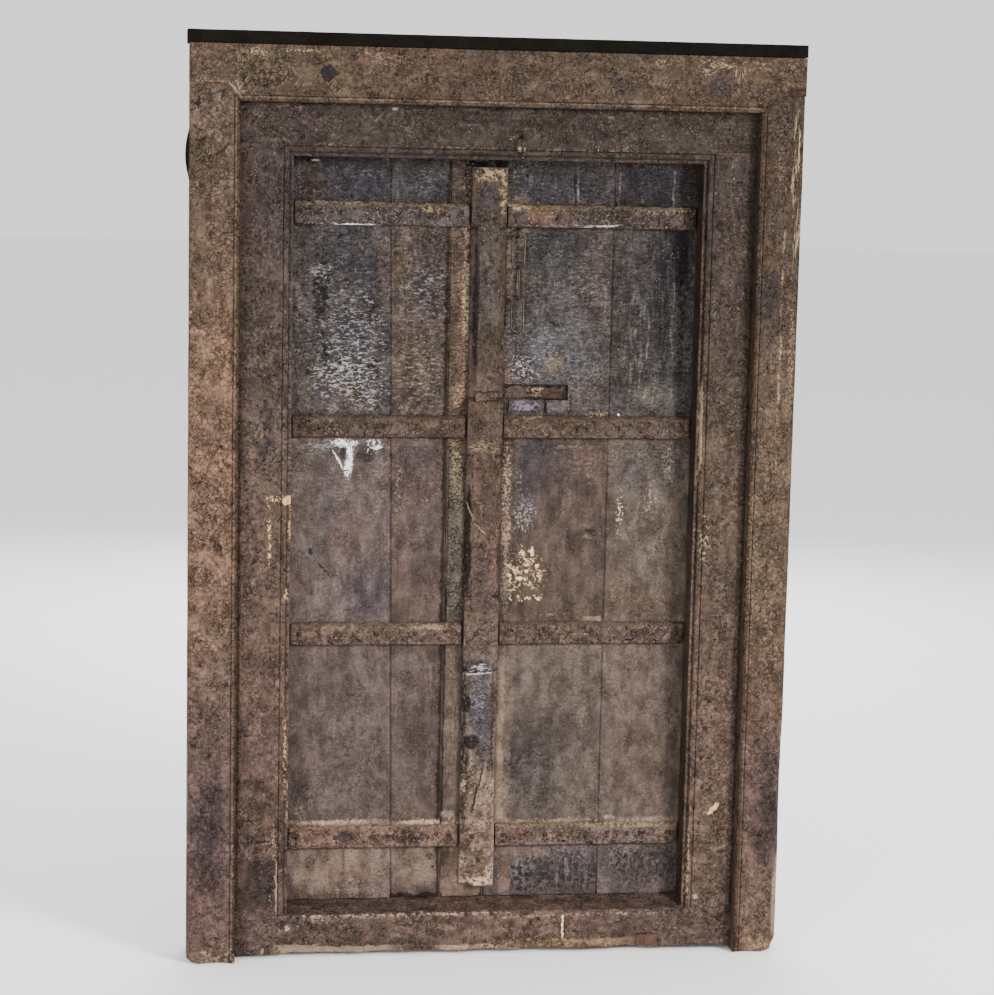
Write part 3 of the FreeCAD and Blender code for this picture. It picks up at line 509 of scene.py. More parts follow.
    def layCurls(self):  # curled skin: thin light ridges with a shadow beside them
        skin = self.noise(grainSizes["skin"], 2, 0.5, 1.6)
        share = self.coarse * self.look["curl"]
        ridge = self.smooth((skin - 0.5).size(), 0.0, 0.022, 1, 0) * share
        hollow = self.smooth((skin - 0.46).size(), 0.0, 0.02, 1, 0) * share
        self.lay(ridge * 0.4, tone("beige"))
        self.lay(hollow * 0.8, tone("soot"))
        self.height = self.height + ridge * 0.4 - hollow * 0.3

    def layCracks(self):  # alligatored paint: islands with dark cracks between them and lighter rims
        look = self.look
        cracked = self.noise(grainSizes["cracked"], 3, 0.6)
        region = self.smooth(cracked, look["crackRegion"] - 0.06, look["crackRegion"] + 0.1)
        width = self.smooth(self.torn, 0.3, 0.7, 1.6, 0.3) * look["crackWidth"]
        if look["smoothFoot"]:
            region = region * self.smooth(self.z, 0.3, 0.62)
        crack = self.smooth(self.gap / width, 0.2, 1.0, 1, 0) * region
        rim = self.smooth(self.gap / width, 1.2, 2.2, 1, 0) * region * (1 - crack)
        self.lay(rim * (0.4 * look["crack"]), tone("beige"))
        self.lay(crack * look["crack"], tone("soot"))
        self.height = self.height - crack * 0.5
        self.rough = self.rough + crack * 0.15

    def layFlecks(self):  # dark pits, light flecks of dust with painted sheen, and small painted glints
        look = self.look
        pits = self.smooth(self.grains["patch"], 0.57, 0.66) * look["pit"] * self.rest
        self.lay(pits, tone("soot"))
        edge = 1 - look["fleckCover"]
        flecks = self.smooth(self.fine + (self.patchy - 0.5) * 0.3, edge, edge + 0.07)
        flecks = flecks * look["fleck"] * self.rest
        self.lay(flecks, tone(look["fleckTone"]))
        spark = self.smooth(self.fine + (self.torn - 0.5) * 0.35, 0.66, 0.7)
        self.lay(spark * self.smooth(self.patchy, 0.48, 0.6) * look["glint"] * self.rest, tone("glint"))
        self.height = self.height - pits * 0.4 + flecks * 0.3

    def layWear(self):  # worn arrises (on the iron a painted highlight), and painted shade in the grooves
        look = self.look
        start = look["wornFrom"]
        arris = self.attribute("arris") + (self.torn - 0.5) * 0.6
        self.lay(self.smooth(arris, start, start + 0.16) * look["worn"], tone(look["wornTone"]))
        groove = self.attribute("groove") + (self.torn - 0.5) * 0.4
        self.lay(self.smooth(groove, 0.62, 1.0) * look["grime"], tone("black"))

    def layDust(self):
        if not self.look["dust"]:
            return
        low, high = self.look["dust"]
        place = self.z + (self.fine - 0.5) * reach["dustTear"] + (self.torn - 0.5) * reach["dustTear"]
        dust = self.smooth(place, low, high) * self.smooth(self.grains["patch"], 0.38, 0.5)
        through = self.smooth(self.fine, 0.36, 0.6, 0.5, 0.0)
        self.lay(dust * 0.8, self.mix(through, tone(self.look["dustTone"]), self.colour))
        self.rough = self.rough + dust * 0.25
        self.height = self.height + dust * 0.4

    def laySplashes(self):  # the light marks lie over everything
        for mark, mask in zip(self.look["marks"], self.masks):
            if isLight(mark):
                through = self.smooth(self.fine, 0.36, 0.6, 0.35, 0.0)
                self.lay(mask, self.mix(through, tone(mark["colour"]), self.colour))

    def layBack(self):  # the back was never painted
        if self.look["bare"] is None:
            return
        own = self.vector("ADD", self.at, (sum(map(ord, self.name)) % 17 * 0.37, 0, 0))
        grain = self.noise(grainSizes["wood"], 5, 0.65, 0.4, stretch=self.along)
        stretch = (1, 1, 0.09) if self.upright else (0.09, 1, 1)
        figure = self.noise(grainSizes["figure"], 4, 0.6, 1.4, stretch=stretch, at=own)
        wood = self.mix(self.smooth(grain, 0.35, 0.68), tone("umber"), tone("old"))
        wood = self.mix(self.smooth(figure, 0.4, 0.62) * 0.6, wood, tone("tan"))
        wood = self.mix(self.smooth(self.blotch, 0.4, 0.7) * 0.5, wood, tone("mauve"))
        start = self.look["bare"]
        bare = self.smooth(self.y + (self.patchy - 0.5) * reach["bareTear"], start - 0.003, start + 0.003)
        self.lay(bare, wood)
        self.rough = self.rough + bare * 0.2
        self.height = self.height * (1 - bare) + grain * bare * 0.6

    def finished(self):
        self.feed("Base Color", self.colour)
        self.feed("Roughness", self.rough.held())
        self.feed("Normal", self.bump(self.height, self.look["depth"]))
        self.feed("Specular IOR Level", self.look["specular"])
        return self.material


def isLight(mark):
    return mark["late"] or sum(tone(mark["colour"])[:3]) > 0.4


def paint(name, **changes):
    coat = Coat(name, dict(plain, **changes))
    coat.layGround()
    coat.layBands()
    coat.layStains()
    coat.layCrust()
    coat.layCurls()
    coat.layCracks()
    coat.layFlecks()
    coat.layWear()
    coat.layDust()
    coat.laySplashes()
    coat.layBack()
    return coat.finished()


def choose(*pieces):
    bpy.ops.object.select_all(action="DESELECT")
    for piece in pieces:
        piece.select_set(True)
    bpy.context.view_layer.objects.active = pieces[0]


def finishPiece(piece, node, material, angle=40):
    choose(piece)
    bpy.ops.object.shade_smooth_by_angle(angle=math.radians(angle))
    piece.data.materials.clear()
    piece.data.materials.append(material)
    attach(piece, bodyOf[node])


def applyAll(piece):
    choose(piece)
    for modifier in list(piece.modifiers):
        bpy.ops.object.modifier_apply(modifier=modifier.name)


def cloud(name, size, depth=2):
    texture = bpy.data.textures.new(name, "CLOUDS")
    texture.noise_scale = size
    texture.noise_depth = depth
    return texture


weld = 0.00002  # points closer than this are one
broadWear = cloud("broad_wear", 0.07)
fineWear = cloud("fine_wear", 0.014, depth=3)


def pointsOf(piece, field="co"):
    values = np.zeros(len(piece.data.vertices) * 3)
    piece.data.vertices.foreach_get(field, values)
    return values.reshape(-1, 3)


def setPoints(piece, points):
    piece.data.vertices.foreach_set("co", points.reshape(-1))
    piece.data.update()


def cutThrough(places, normal):
    for place in places:
        bpy.ops.mesh.select_all(action="SELECT")
        bpy.ops.mesh.bisect(plane_co=place, plane_no=normal)


def displace(piece, name, texture, depth, along=None):
    wear = piece.modifiers.new(name, "DISPLACE")
    wear.texture = texture
    wear.texture_coords = "LOCAL"
    wear.mid_level = 0
    wear.strength = depth if along else -depth
    if along:
        wear.direction = along


def wornCopy(node, **wear):
    piece = bpy.data.objects.new("worn_" + node, nodes[node].data.copy())
    bpy.context.scene.collection.objects.link(piece)
    low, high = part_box(node)
    return worn(piece, low, high, **wear)


def slab(name, low, high, **wear):
    bpy.ops.object.select_all(action="DESELECT")
    bpy.ops.mesh.primitive_cube_add(size=1, location=(low + high) / 2, scale=high - low)
    piece = bpy.context.object
    piece.name = name
    bpy.ops.object.transform_apply(location=True, rotation=True, scale=True)
    return worn(piece, low, high, **wear)


def worn(piece, low, high, cell=0.036, arris=0.0014, levels=2, broad=0.0012, fine=0.0008, along=None):
    # rounds the arrises, cuts the faces small and hollows them; the piece stays within its own box
    choose(piece)
    bpy.ops.object.mode_set(mode="EDIT")
    bpy.ops.mesh.select_mode(type="EDGE")
    bpy.ops.mesh.select_all(action="SELECT")
    bpy.ops.mesh.remove_doubles(threshold=weld)
    bpy.ops.mesh.dissolve_limited(angle_limit=math.radians(1.5))
    pickEdges(piece, 30, True)
    bpy.ops.mesh.bevel(offset=arris, segments=2, profile=0.6, clamp_overlap=False)
    for axis in range(3):
        length = high[axis] - low[axis]
        count = max(1, round(length / cell))
        normal = [0, 0, 0]
        normal[axis] = 1
        places = [list(low) for number in range(1, count)]
        for number, place in enumerate(places, 1):
            place[axis] = low[axis] + length * number / count
        cutThrough(places, normal)
    bpy.ops.mesh.select_all(action="SELECT")
    bpy.ops.mesh.remove_doubles(threshold=weld)
    for title, angle, convex in (("arris", 18, True), ("groove", 25, False)):
        group = piece.vertex_groups.new(name=title)
        pickEdges(piece, angle, convex)
        piece.vertex_groups.active = group
        bpy.ops.object.vertex_group_assign()
    bpy.ops.object.mode_set(mode="OBJECT")
    cut = piece.modifiers.new("cut", "SUBSURF")
    cut.subdivision_type = "SIMPLE"
    cut.levels = cut.render_levels = levels
    displace(piece, "broad", broadWear, broad, along)
    displace(piece, "fine", fineWear, fine, along)
    applyAll(piece)
    keepShares(piece)
    setPoints(piece, np.clip(pointsOf(piece), np.array(low), np.array(high)))
    print(piece.name, len(piece.data.polygons), "faces")
    return piece


def keepShares(piece):
    # the vertex groups become attributes that the paint reads
    titles = {group.index: group.name for group in piece.vertex_groups}
    shares = {title: np.zeros(len(piece.data.vertices), np.float32) for title in titles.values()}
    for vertex in piece.data.vertices:
        for share in vertex.groups:
            shares[titles[share.group]][vertex.index] = share.weight
    piece.vertex_groups.clear()
    for title, values in shares.items():
        piece.data.attributes.new(title, "FLOAT", "POINT").data.foreach_set("value", values)


def pickEdges(piece, angle, convex):
    # sharp edges that stick out, or that lie in a corner
    bpy.ops.mesh.select_all(action="DESELECT")
    shape = bmesh.from_edit_mesh(piece.data)
    for edge in shape.edges:
        sharp = len(edge.link_faces) == 2 and edge.calc_face_angle(0) > math.radians(angle)
        if sharp and edge.is_convex == convex:
            edge.select_set(True)
    bmesh.update_edit_mesh(piece.data)


def reshape(piece, moves):
    # moves: (centre, reach, push); every point within reach of centre is pushed, less towards the rim
    points = pointsOf(piece)
    for centre, extent, push in moves:
        far = np.sqrt((((points - np.array(centre)) / np.array(extent)) ** 2).sum(1))
        share = np.clip(1 - far**2, 0, 1) ** 1.5
        points += share[:, None] * np.array(push)
    setPoints(piece, points)


def fray(piece, axis, atHigh, extent, depth, size, seed=0.0, where=None):
    # eats an end or an edge away by uneven amounts
    points = pointsOf(piece)
    limit = points[:, axis].max() if atHigh else points[:, axis].min()
    sign = -1 if atHigh else 1
    near = np.abs(points[:, axis] - limit) < extent
    for number in np.nonzero(near)[0]:
        point = points[number]
        if where and not where(point):
            continue
        sample = Vector(point) / size + Vector((seed, seed, seed))
        sample[axis] = seed
        amount = 0.5 + 0.5 * noise.noise(sample) + 0.3 * noise.noise(sample * 3.1)
        share = 1 - abs(point[axis] - limit) / extent
        points[number][axis] += sign * depth * min(max(amount, 0), 1.2) * share
    setPoints(piece, points)


# the floor of the studio
floorLook = {
    "size": 80,
    "grain": 0.6,
    "light": (0.93, 0.93, 0.93, 1),
    "dark": (0.8, 0.8, 0.82, 1),
    "rough": 0.9,
}
bpy.ops.mesh.primitive_plane_add(size=floorLook["size"], location=(0, 0, 0))
floor = bpy.context.object
floor.name = "studio_floor"
paper = Maker("floor_paper")
cloudy = paper.noise(floorLook["grain"]) * 0.06
paper.feed("Base Color", paper.mix(cloudy, floorLook["light"], floorLook["dark"]))
paper.feed("Roughness", floorLook["rough"])
floor.data.materials.append(paper.material)

# the outer frame
outerPaint = {
    "outer_jamb_left": dict(
        axis="z",
        tones=[
            (0.0, (148, 123, 107)), (0.04, (138, 114, 107)), (0.2, (136, 112, 104)), (0.3, (144, 119, 104)),
            (0.42, (164, 136, 114)), (0.62, (170, 142, 118)), (0.75, (142, 117, 97)),
            (0.88, (130, 110, 91)), (0.97, (128, 105, 91)),
        ],
        # a thin painted highlight along the bead, and painted shade on its inner side
        bands=[("x", -0.5172, -0.5150, (140, 120, 98), 0.55), ("x", -0.5142, -0.5, (84, 65, 53), 0.9)],
    ),
    "outer_jamb_right": dict(
        axis="z",
        tones=[
            (0.0, (145, 118, 99)), (0.05, (143, 117, 102)), (0.2, (135, 110, 100)), (0.3, (137, 111, 95)),
            (0.45, (138, 116, 95)), (0.6, (135, 113, 92)), (0.72, (101, 83, 69)), (0.85, (91, 74, 61)),
            (0.96, (89, 72, 61)),
        ],
        # painted shade on the jamb's inner edge, and a thin painted highlight along the bead
        bands=[("x", 0.5235, 0.5312, (92, 72, 58), 0.8), ("x", 0.5328, 0.5345, (136, 116, 94), 0.5)],
    ),
    "outer_head": dict(
        axis="x",
        tones=[
            (0.0, (132, 105, 88)), (0.06, (124, 103, 82)), (0.2, (120, 101, 79)), (0.4, (116, 94, 74)),
            (0.6, (110, 90, 73)), (0.8, (114, 94, 74)), (1.0, (118, 96, 76)),
        ],
        grime=0.25,
        # a thin painted highlight along the bead, over a brown band
        bands=[("z", 1.7385, 1.7415, (146, 128, 110), 0.75), ("z", 1.72, 1.7375, (104, 84, 70), 0.8)],
    ),
}
outerPaint["outer_jamb_left"]["marks"] = [
    dab(211, 838, 17, 62, "plum", 0.75, soft=0.9, gloss=0.35),
    streak(208, 800, 16, 60, "violet", 0.35, 0.5), dab(198, 911, 11, 22, (124, 98, 90), 0.9, gloss=0.6),
    dab(196, 912, 6, 18, (132, 104, 94), 0.6, soft=1),
    patch(206, 954, 9, 3.2, (200, 184, 166), 0.9, 0.62, turn=-36),
    fine(222, 945, 1.6, 14, (170, 150, 134), 0.7, 0.6, turn=-24),
    lump(229, 956, 5, 9, (190, 172, 154), 0.8, 0.6), dab(188, 860, 4, 60, (128, 108, 98), 0.6, soft=0.8),
    streak(209, 820, 12, 60, (62, 52, 56), 0.6, 0.6), fine(232, 850, 1.0, 60, (170, 152, 130), 0.7, 0.55),
    streak(222, 935, 8, 14, (126, 108, 98), 0.6, 0.6), lump(214, 961, 22, 4, (182, 160, 144), 0.85, 0.6),
    dab(199, 101, 2.2, 6, "soot", 0.9, soft=0.3), dab(217, 548, 5, 5, "slate", 0.8),
    fine(238, 200, 2, 95, (160, 142, 120), 0.5, 0.5), fine(238, 420, 2, 130, "beige", 0.6, 0.5),
    lump(213, 130, 18, 40, (150, 134, 112), 0.55, 0.4),
    dab(207, 82.6, 20, 0.7, (150, 124, 108), 0.8, box=True, soft=0.3),
    patch(206, 180, 14, 20, (70, 58, 46), 0.5, 0.6), dab(222, 150, 10, 1.4, "soot", 0.7, turn=38, soft=0.4),
    dab(199, 128, 8, 1.2, (60, 48, 40), 0.7, turn=-30, soft=0.4),
    lump(216, 250, 16, 30, (140, 112, 96), 0.4, 0.5), lump(214, 420, 20, 40, (108, 84, 68), 0.4, 0.5),
    lump(206, 690, 18, 30, (124, 112, 100), 0.4, 0.5), dab(222, 91, 6, 1.4, "soot", 0.8, turn=24, soft=0.4),
    dab(223, 96, 1.2, 6, "soot", 0.7, turn=-16, soft=0.4),
    dab(225, 108, 1.0, 9, (150, 134, 118), 0.8, turn=24, soft=0.4),
    dab(230, 88, 6, 1.2, (188, 172, 154), 0.9, turn=-38, soft=0.4),
    lump(212, 330, 22, 130, (176, 148, 122), 0.5, 0.34),
    lump(212, 620, 22, 120, (166, 140, 122), 0.45, 0.34), patch(212, 545, 16, 10, (60, 52, 54), 0.6, 0.6),
    patch(213, 500, 20, 60, "olive", 0.5, 0.5), patch(195, 720, 9, 60, "plum", 0.5, 0.55),
    patch(189, 300, 3, 170, (138, 106, 94), 0.5, 0.6),
]
outerPaint["outer_jamb_right"]["marks"] = [
    dab(768, 815, 18, 70, "plum", 0.8, soft=0.8, gloss=0.38), dab(776, 900, 5, 42, "cream", 0.75, soft=0.7),
    patch(757, 942, 14, 9, "cream", 0.6, 0.6), patch(777, 895, 6, 44, (150, 142, 112), 0.75, 0.72),
    lump(758, 948, 18, 5, (190, 168, 144), 0.75, 0.62), streak(766, 862, 7, 6, (132, 122, 116), 0.8, 0.7),
    lump(745, 850, 1.0, 60, (150, 134, 120), 0.7, 0.66), dab(775, 935, 6, 12, "mauve", 0.7),
    streak(796, 170, 3, 55, "cream", 0.8, 0.62), fine(784, 150, 10, 55, "beige", 0.6, 0.5),
    streak(797, 235, 4, 30, "cream", 0.7, 0.62), streak(771, 300, 14, 26, (64, 62, 66), 0.75, 0.8),
    patch(772, 130, 16, 36, (84, 72, 62), 0.6, 0.6), lump(762, 460, 14, 90, (170, 148, 120), 0.5, 0.32),
    lump(766, 620, 14, 60, (156, 136, 96), 0.6, 0.42),
    streak(799.5, 150, 0.9, 50, (206, 186, 156), 0.9, 0.8),
    streak(781, 330, 1.2, 150, (190, 170, 140), 0.6, 0.7), lump(768, 640, 9, 48, (170, 152, 112), 0.6, 0.4),
    fine(752, 560, 6, 130, "cream", 0.4, 0.5), fine(792, 350, 4, 60, "cream", 0.5, 0.55),
    patch(775, 660, 5, 30, "moss", 0.6, 0.5), streak(782, 760, 4, 60, "cream", 0.5, 0.5),
]
outerPaint["outer_head"]["marks"] = [
    dab(329, 73, 7, 7, (50, 43, 47), 1.0, box=True, turn=42, soft=0.1, late=True),
    fine(290, 50, 9, 1.5, (196, 176, 156), 0.9, 0.62), lump(380, 55, 40, 4, (160, 124, 112), 0.8, 0.5),
    wrinkle(384, 60, 22, 6, (190, 166, 150), 0.8, 0.44), patch(263, 62, 4, 5, (64, 54, 46), 0.6, 0.6),
    dab(799, 93, 10, 4.5, (70, 46, 44), 0.95, box=True, soft=0.2), fine(257, 52, 11, 4, "cream", 0.8, 0.6),
    patch(284, 58, 14, 8, "cream", 0.5, 0.45), patch(380, 62, 60, 9, "rose", 0.6, 0.55),
    patch(200, 62, 12, 12, "rose", 0.4, 0.5), wrinkle(722, 64, 30, 7, (196, 178, 152), 0.85, 0.46),
    wrinkle(708, 72, 10, 3, (200, 184, 160), 0.9, 0.6), patch(664, 63, 8, 5, "cream", 0.7, 0.6),
    streak(740, 76, 8, 12, (196, 180, 156), 0.8, 0.5), lump(760, 66, 14, 8, (168, 154, 112), 0.7, 0.45),
    patch(778, 66, 22, 8, "olive", 0.7, 0.6), dab(720, 85, 12, 12, "slate", 0.6),
    dab(624, 84, 14, 11, "slate", 0.45), patch(520, 70, 60, 12, "rust", 0.35, 0.5),
    dab(270, 76, 34, 14, (128, 110, 90), 0.5, soft=0.8), crackle(270, 76, 36, 14, "soot", 0.4, 0.1),
    patch(200, 70, 14, 12, (98, 78, 72), 0.5, 0.6), fine(306, 50, 18, 1.4, (206, 184, 158), 0.9, 0.6),
    dab(300, 46, 60, 2.6, (130, 104, 88), 0.6, soft=0.8),
    dab(400, 48, 70, 2.4, (136, 104, 92), 0.7, soft=0.8),
    dab(207, 81.3, 20, 0.8, (166, 136, 118), 0.9, box=True, soft=0.3),
    dab(238, 66, 1.2, 16, (150, 134, 114), 0.6, soft=0.6),
    dab(233, 68, 0.9, 14, (150, 134, 114), 0.5, soft=0.6),
    dab(236, 90, 10, 1.2, (188, 172, 154), 0.9, turn=-44, soft=0.4),
    dab(238, 83, 1.0, 7, (184, 168, 148), 0.9, turn=16, soft=0.4),
    dab(243, 84, 1.0, 7, (170, 154, 134), 0.8, turn=-40, soft=0.4),
    dab(247, 90, 7, 0.9, (170, 154, 134), 0.7, turn=6, soft=0.4),
    dab(234, 80, 0.9, 6, (170, 154, 134), 0.7, turn=30, soft=0.4),
    dab(330, 84, 0.9, 6, "soot", 0.8, soft=0.4), wrinkle(365, 76, 20, 1.0, "soot", 0.5, 0.7),
    patch(430, 80, 90, 5, (88, 70, 58), 0.5, 0.6),
]
outerWear = dict(cell=0.036, arris=0.002, broad=0.0026, fine=0.0016, along="Y")
outerLook = dict(bare=0.045, crackRegion=0.46, crackWidth=0.13, crack=0.5, cell=0.0105, mottle=0.9)
jambEdge = {-1: -0.6065, 1: 0.6135}  # x of the outer edge by side
jambFoot = {"end": 0.02, "endDepth": 0.002, "endGrain": 0.03, "edgeDepth": 0.0008, "edgeGrain": 0.06}


def wearJamb(piece, side):
    # a foot rounded by kicks, an outer edge that is no longer straight
    edge = jambEdge[side]
    reshape(
        piece,
        [
            ((edge, -0.06, 0), (0.03, 0.05, 0.035), (-side * 0.008, 0.008, 0.004)),
            ((edge - side * 0.06, -0.06, 0), (0.045, 0.03, 0.02), (0, 0.007, 0.003)),
            ((edge, -0.06, 0.1), (0.012, 0.012, 0.1), (-side * 0.003, 0.003, 0)),
            ((edge, -0.055, 0.36), (0.01, 0.03, 0.16), (-side * 0.002, 0, 0)),
        ],
    )
    foot = jambFoot
    fray(piece, 2, False, foot["end"], foot["endDepth"], foot["endGrain"])
    fray(piece, 0, side > 0, foot["end"], foot["edgeDepth"], foot["edgeGrain"], seed=1.7 + side)


for node, look in outerPaint.items():
    piece = wornCopy(node, **outerWear)
    isJamb = "jamb" in node
    if isJamb:
        wearJamb(piece, -1 if "left" in node else 1)
    coat = paint(node + "_paint", smoothFoot=isJamb, **outerLook, **look)
    finishPiece(piece, node, coat)
    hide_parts(node)
print("the outer frame is done")

# the capping board and the lug
capPaint = paint(
    "cap_paint",
    axis="x",
    tones=[(0, (42, 40, 37)), (1, (38, 36, 34))],
    second=(46, 44, 40),
    specular=0.02,
    mottle=0.2,
    grit=0.2,
    drip=0.1,
    stain=0.3,
    curl=0.0,
    worn=0.0,
    grime=0.0,
    fleck=0.0,
    pit=0.0,
    streak=0.0,
    island=0.0,
    crack=0.0,
    glint=0.0,
    rough=(0.6, 0.8),
    depth=0.0006,
)
cap = wornCopy("top_cap", cell=0.05, arris=0.002, broad=0.0014, fine=0.0005)
finishPiece(cap, "top_cap", capPaint)
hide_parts("top_cap")
lugPaint = paint(
    "lug_paint",
    tones=[(0, (46, 47, 40)), (1, (38, 39, 36))],
    second=(58, 58, 48),
    specular=0.04,
    fleck=0.0,
    glint=0.0,
    streak=0.0,
    worn=0.0,
    crack=0.0,
    rough=(0.4, 0.6),
    depth=0.0005,
)
lug = wornCopy("side_lug", cell=0.02, arris=0.0015, broad=0.0005, fine=0.0005)
finishPiece(lug, "side_lug", lugPaint)
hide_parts("side_lug")

# the inner frame
innerPaint = {
    "inner_stile_left": dict(
        axis="z",
        tones=[
            (0.0, (147, 120, 106)), (0.06, (126, 103, 94)), (0.2, (135, 110, 98)), (0.32, (142, 115, 101)),
            (0.45, (137, 114, 99)), (0.56, (133, 112, 98)), (0.66, (115, 99, 89)), (0.8, (91, 77, 74)),
            (0.92, (91, 77, 74)),
        ],
        second="mauve",
        # painted shade beside the outer jamb, where the inner frame lies deeper
        bands=[("x", -0.5085, -0.5022, (84, 65, 53), 0.85)],
    ),
    "inner_stile_right": dict(
        axis="z",
        tones=[
            (0.0, (139, 115, 100)), (0.1, (145, 121, 105)), (0.25, (142, 118, 103)), (0.4, (122, 101, 85)),
            (0.55, (120, 100, 83)), (0.7, (91, 77, 67)), (0.85, (73, 62, 57)), (0.95, (73, 62, 57)),
        ],
        second="mauve",
        # painted shade beside the outer jamb, and on the reveal that faces away from the light
        bands=[("x", 0.5175, 0.5235, (78, 62, 52), 0.8), ("x", 0.4, 0.4184, (66, 51, 43), 0.85)],
    ),
    "inner_head": dict(
        axis="x",
        tones=[
            (0.0, (86, 70, 66)), (0.12, (88, 74, 68)), (0.3, (80, 69, 64)), (0.5, (76, 66, 60)),
            (0.7, (74, 63, 58)), (1.0, (78, 66, 58)),
        ],
        second="umber",
    ),
    "inner_sill": dict(
        axis="x",
        tones=[
            (0.0, (126, 104, 95)), (0.2, (132, 110, 99)), (0.4, (138, 114, 101)), (0.55, (144, 119, 104)),
            (0.7, (134, 110, 97)), (0.9, (130, 108, 97)), (1.0, (126, 104, 91)),
        ],
        second="plum",
    ),
}
innerPaint["inner_stile_left"]["marks"] = [
    dab(253, 190, 9, 60, (98, 79, 75), 0.9, box=True, soft=0.7),
    dab(290.5, 170, 0.9, 26, (60, 52, 50), 0.8, soft=0.4), patch(271, 330, 10, 40, (64, 56, 54), 0.5, 0.6),
    lump(262, 250, 10, 30, (124, 104, 88), 0.5, 0.5), patch(250, 600, 10, 40, (74, 62, 54), 0.5, 0.6),
    lump(263, 700, 18, 30, (120, 106, 96), 0.4, 0.5), lump(276, 175, 10, 40, (74, 70, 68), 0.8, 0.55),
    dab(262, 130, 1.6, 9, "soot", 0.7, turn=-50), patch(272, 420, 18, 40, (74, 70, 68), 0.6, 0.6),
    wrinkle(268, 398, 8, 1.0, "ash", 0.6, 0.7), lump(266, 640, 16, 30, (92, 84, 74), 0.5, 0.5),
    patch(282, 200, 10, 60, "slate", 0.5, 0.6), dab(262, 345, 18, 60, "umber", 0.4, soft=1),
    patch(256, 530, 14, 55, "rust", 0.35, 0.6), patch(269.5, 536, 2.2, 30, "butter", 0.95, 0.62, lift=0.4),
    dab(282, 540, 1.6, 30, (84, 66, 46), 0.8, soft=0.6), fine(275, 499, 10, 3.6, "butter", 0.85, 0.55),
    dab(288, 501, 5, 4.5, "butter", 1.0, soft=0.4, lift=0.4),
    fine(290.5, 525, 1.2, 20, "butter", 0.85, 0.72), lump(269, 448, 9, 10, (70, 68, 72), 0.75, 0.7),
    wrinkle(272, 450, 5, 6, "silver", 0.8, 0.45), fine(286, 595, 2, 6, "butter", 0.9, 0.66),
    patch(285, 755, 1.6, 42, "butter", 0.85, 0.7), patch(288, 800, 1.4, 30, "cream", 0.7, 0.7),
    dab(258, 884, 17, 26, (74, 60, 60), 0.85, box=True, soft=0.6, gloss=0.4),
    streak(252, 825, 14, 30, (118, 102, 96), 0.6, 0.6), dab(266, 815, 10, 30, (122, 90, 76), 0.5, soft=0.9),
    dab(270, 930, 26, 16, (98, 76, 70), 0.6, soft=0.9), dab(263, 842, 9, 1.4, "soot", 0.9, soft=0.4),
    dab(264, 844, 9, 1.2, "ash", 0.6), dab(265, 800, 18, 30, "brown", 0.5, soft=1),
    dab(276, 888, 1.0, 28, (200, 182, 156), 0.9, soft=0.6),
    fine(274, 842, 2.0, 24, (196, 176, 148), 0.8, 0.6), fine(281, 520, 1.4, 380, "beige", 0.45, 0.55),
]
innerPaint["inner_stile_right"]["marks"] = [
    lump(704, 540, 5, 25, (200, 188, 156), 0.9, 0.5),
    dab(713, 809, 8, 2.5, "butter", 0.9, turn=50, soft=0.4), dab(701, 430, 1.3, 52, "cream", 0.9),
    fine(691, 620, 1.4, 120, "beige", 0.6, 0.6), lump(688, 860, 1.6, 50, (198, 180, 152), 0.85, 0.7),
    dab(695, 896, 1.6, 2.4, (206, 192, 170), 0.8, soft=0.3),
    wrinkle(710, 848, 18, 1.0, (160, 142, 126), 0.6, 0.7), dab(722, 851, 6, 2, "soot", 0.7),
    patch(692, 790, 5, 40, "rust", 0.5, 0.6), patch(700, 640, 8, 50, "rose", 0.4, 0.55),
    fine(724, 300, 14, 120, "tan", 0.35, 0.5), patch(735, 150, 20, 20, "rose", 0.4, 0.5),
    patch(727, 870, 14, 40, "slate", 0.35, 0.5), patch(712, 470, 12, 40, "olive", 0.4, 0.5),
]
innerPaint["inner_head"]["marks"] = [
    dab(310, 122, 26, 14, (92, 76, 76), 0.7, soft=0.9), lump(500, 149, 190, 1.2, (140, 122, 98), 0.8, 0.6),
    fine(400, 104.5, 170, 1.0, (132, 116, 100), 0.6, 0.5),
    patch(420, 120, 150, 14, (64, 54, 50), 0.6, 0.45), dab(330, 118, 30, 12, (96, 80, 76), 0.6, soft=0.9),
    dab(283, 106, 8, 1.0, (140, 128, 116), 0.7, turn=10), dab(304, 107, 8, 0.9, (140, 128, 116), 0.7),
    dab(395, 109, 2.4, 1.4, (196, 180, 160), 0.8, soft=0.3), dab(302, 138, 3, 2.4, "soot", 0.8, soft=0.4),
    dab(306, 127, 6, 0.9, "soot", 0.8, turn=-32, soft=0.4),
    fine(372, 132, 12, 1.0, (150, 132, 112), 0.6, 0.6),
    dab(378, 118, 10, 0.9, (130, 114, 98), 0.7, turn=36),
    fine(335, 147, 40, 1.6, (150, 132, 106), 0.7, 0.5), patch(450, 112, 160, 6, "soot", 0.4, 0.5),
    patch(560, 120, 90, 8, "violet", 0.35, 0.5), wrinkle(640, 118, 34, 2, "ash", 0.7, 0.6),
    patch(430, 135, 120, 7, "olive", 0.5, 0.5), dab(243, 141, 3, 1.6, "black", 0.9),
    dab(277, 131, 7, 1.0, "soot", 0.9, turn=-34, soft=0.4),
    dab(286, 139, 5, 1.1, (150, 138, 124), 0.7, turn=-38),
    dab(255, 121, 1.6, 7, (48, 40, 36), 0.8, turn=-38),
    dab(259, 118, 1.2, 7, (140, 122, 106), 0.6, turn=-38), dab(521.6, 149, 4, 3, "cream", 0.8),
    dab(521, 128, 3, 8, "soot", 0.6),
]
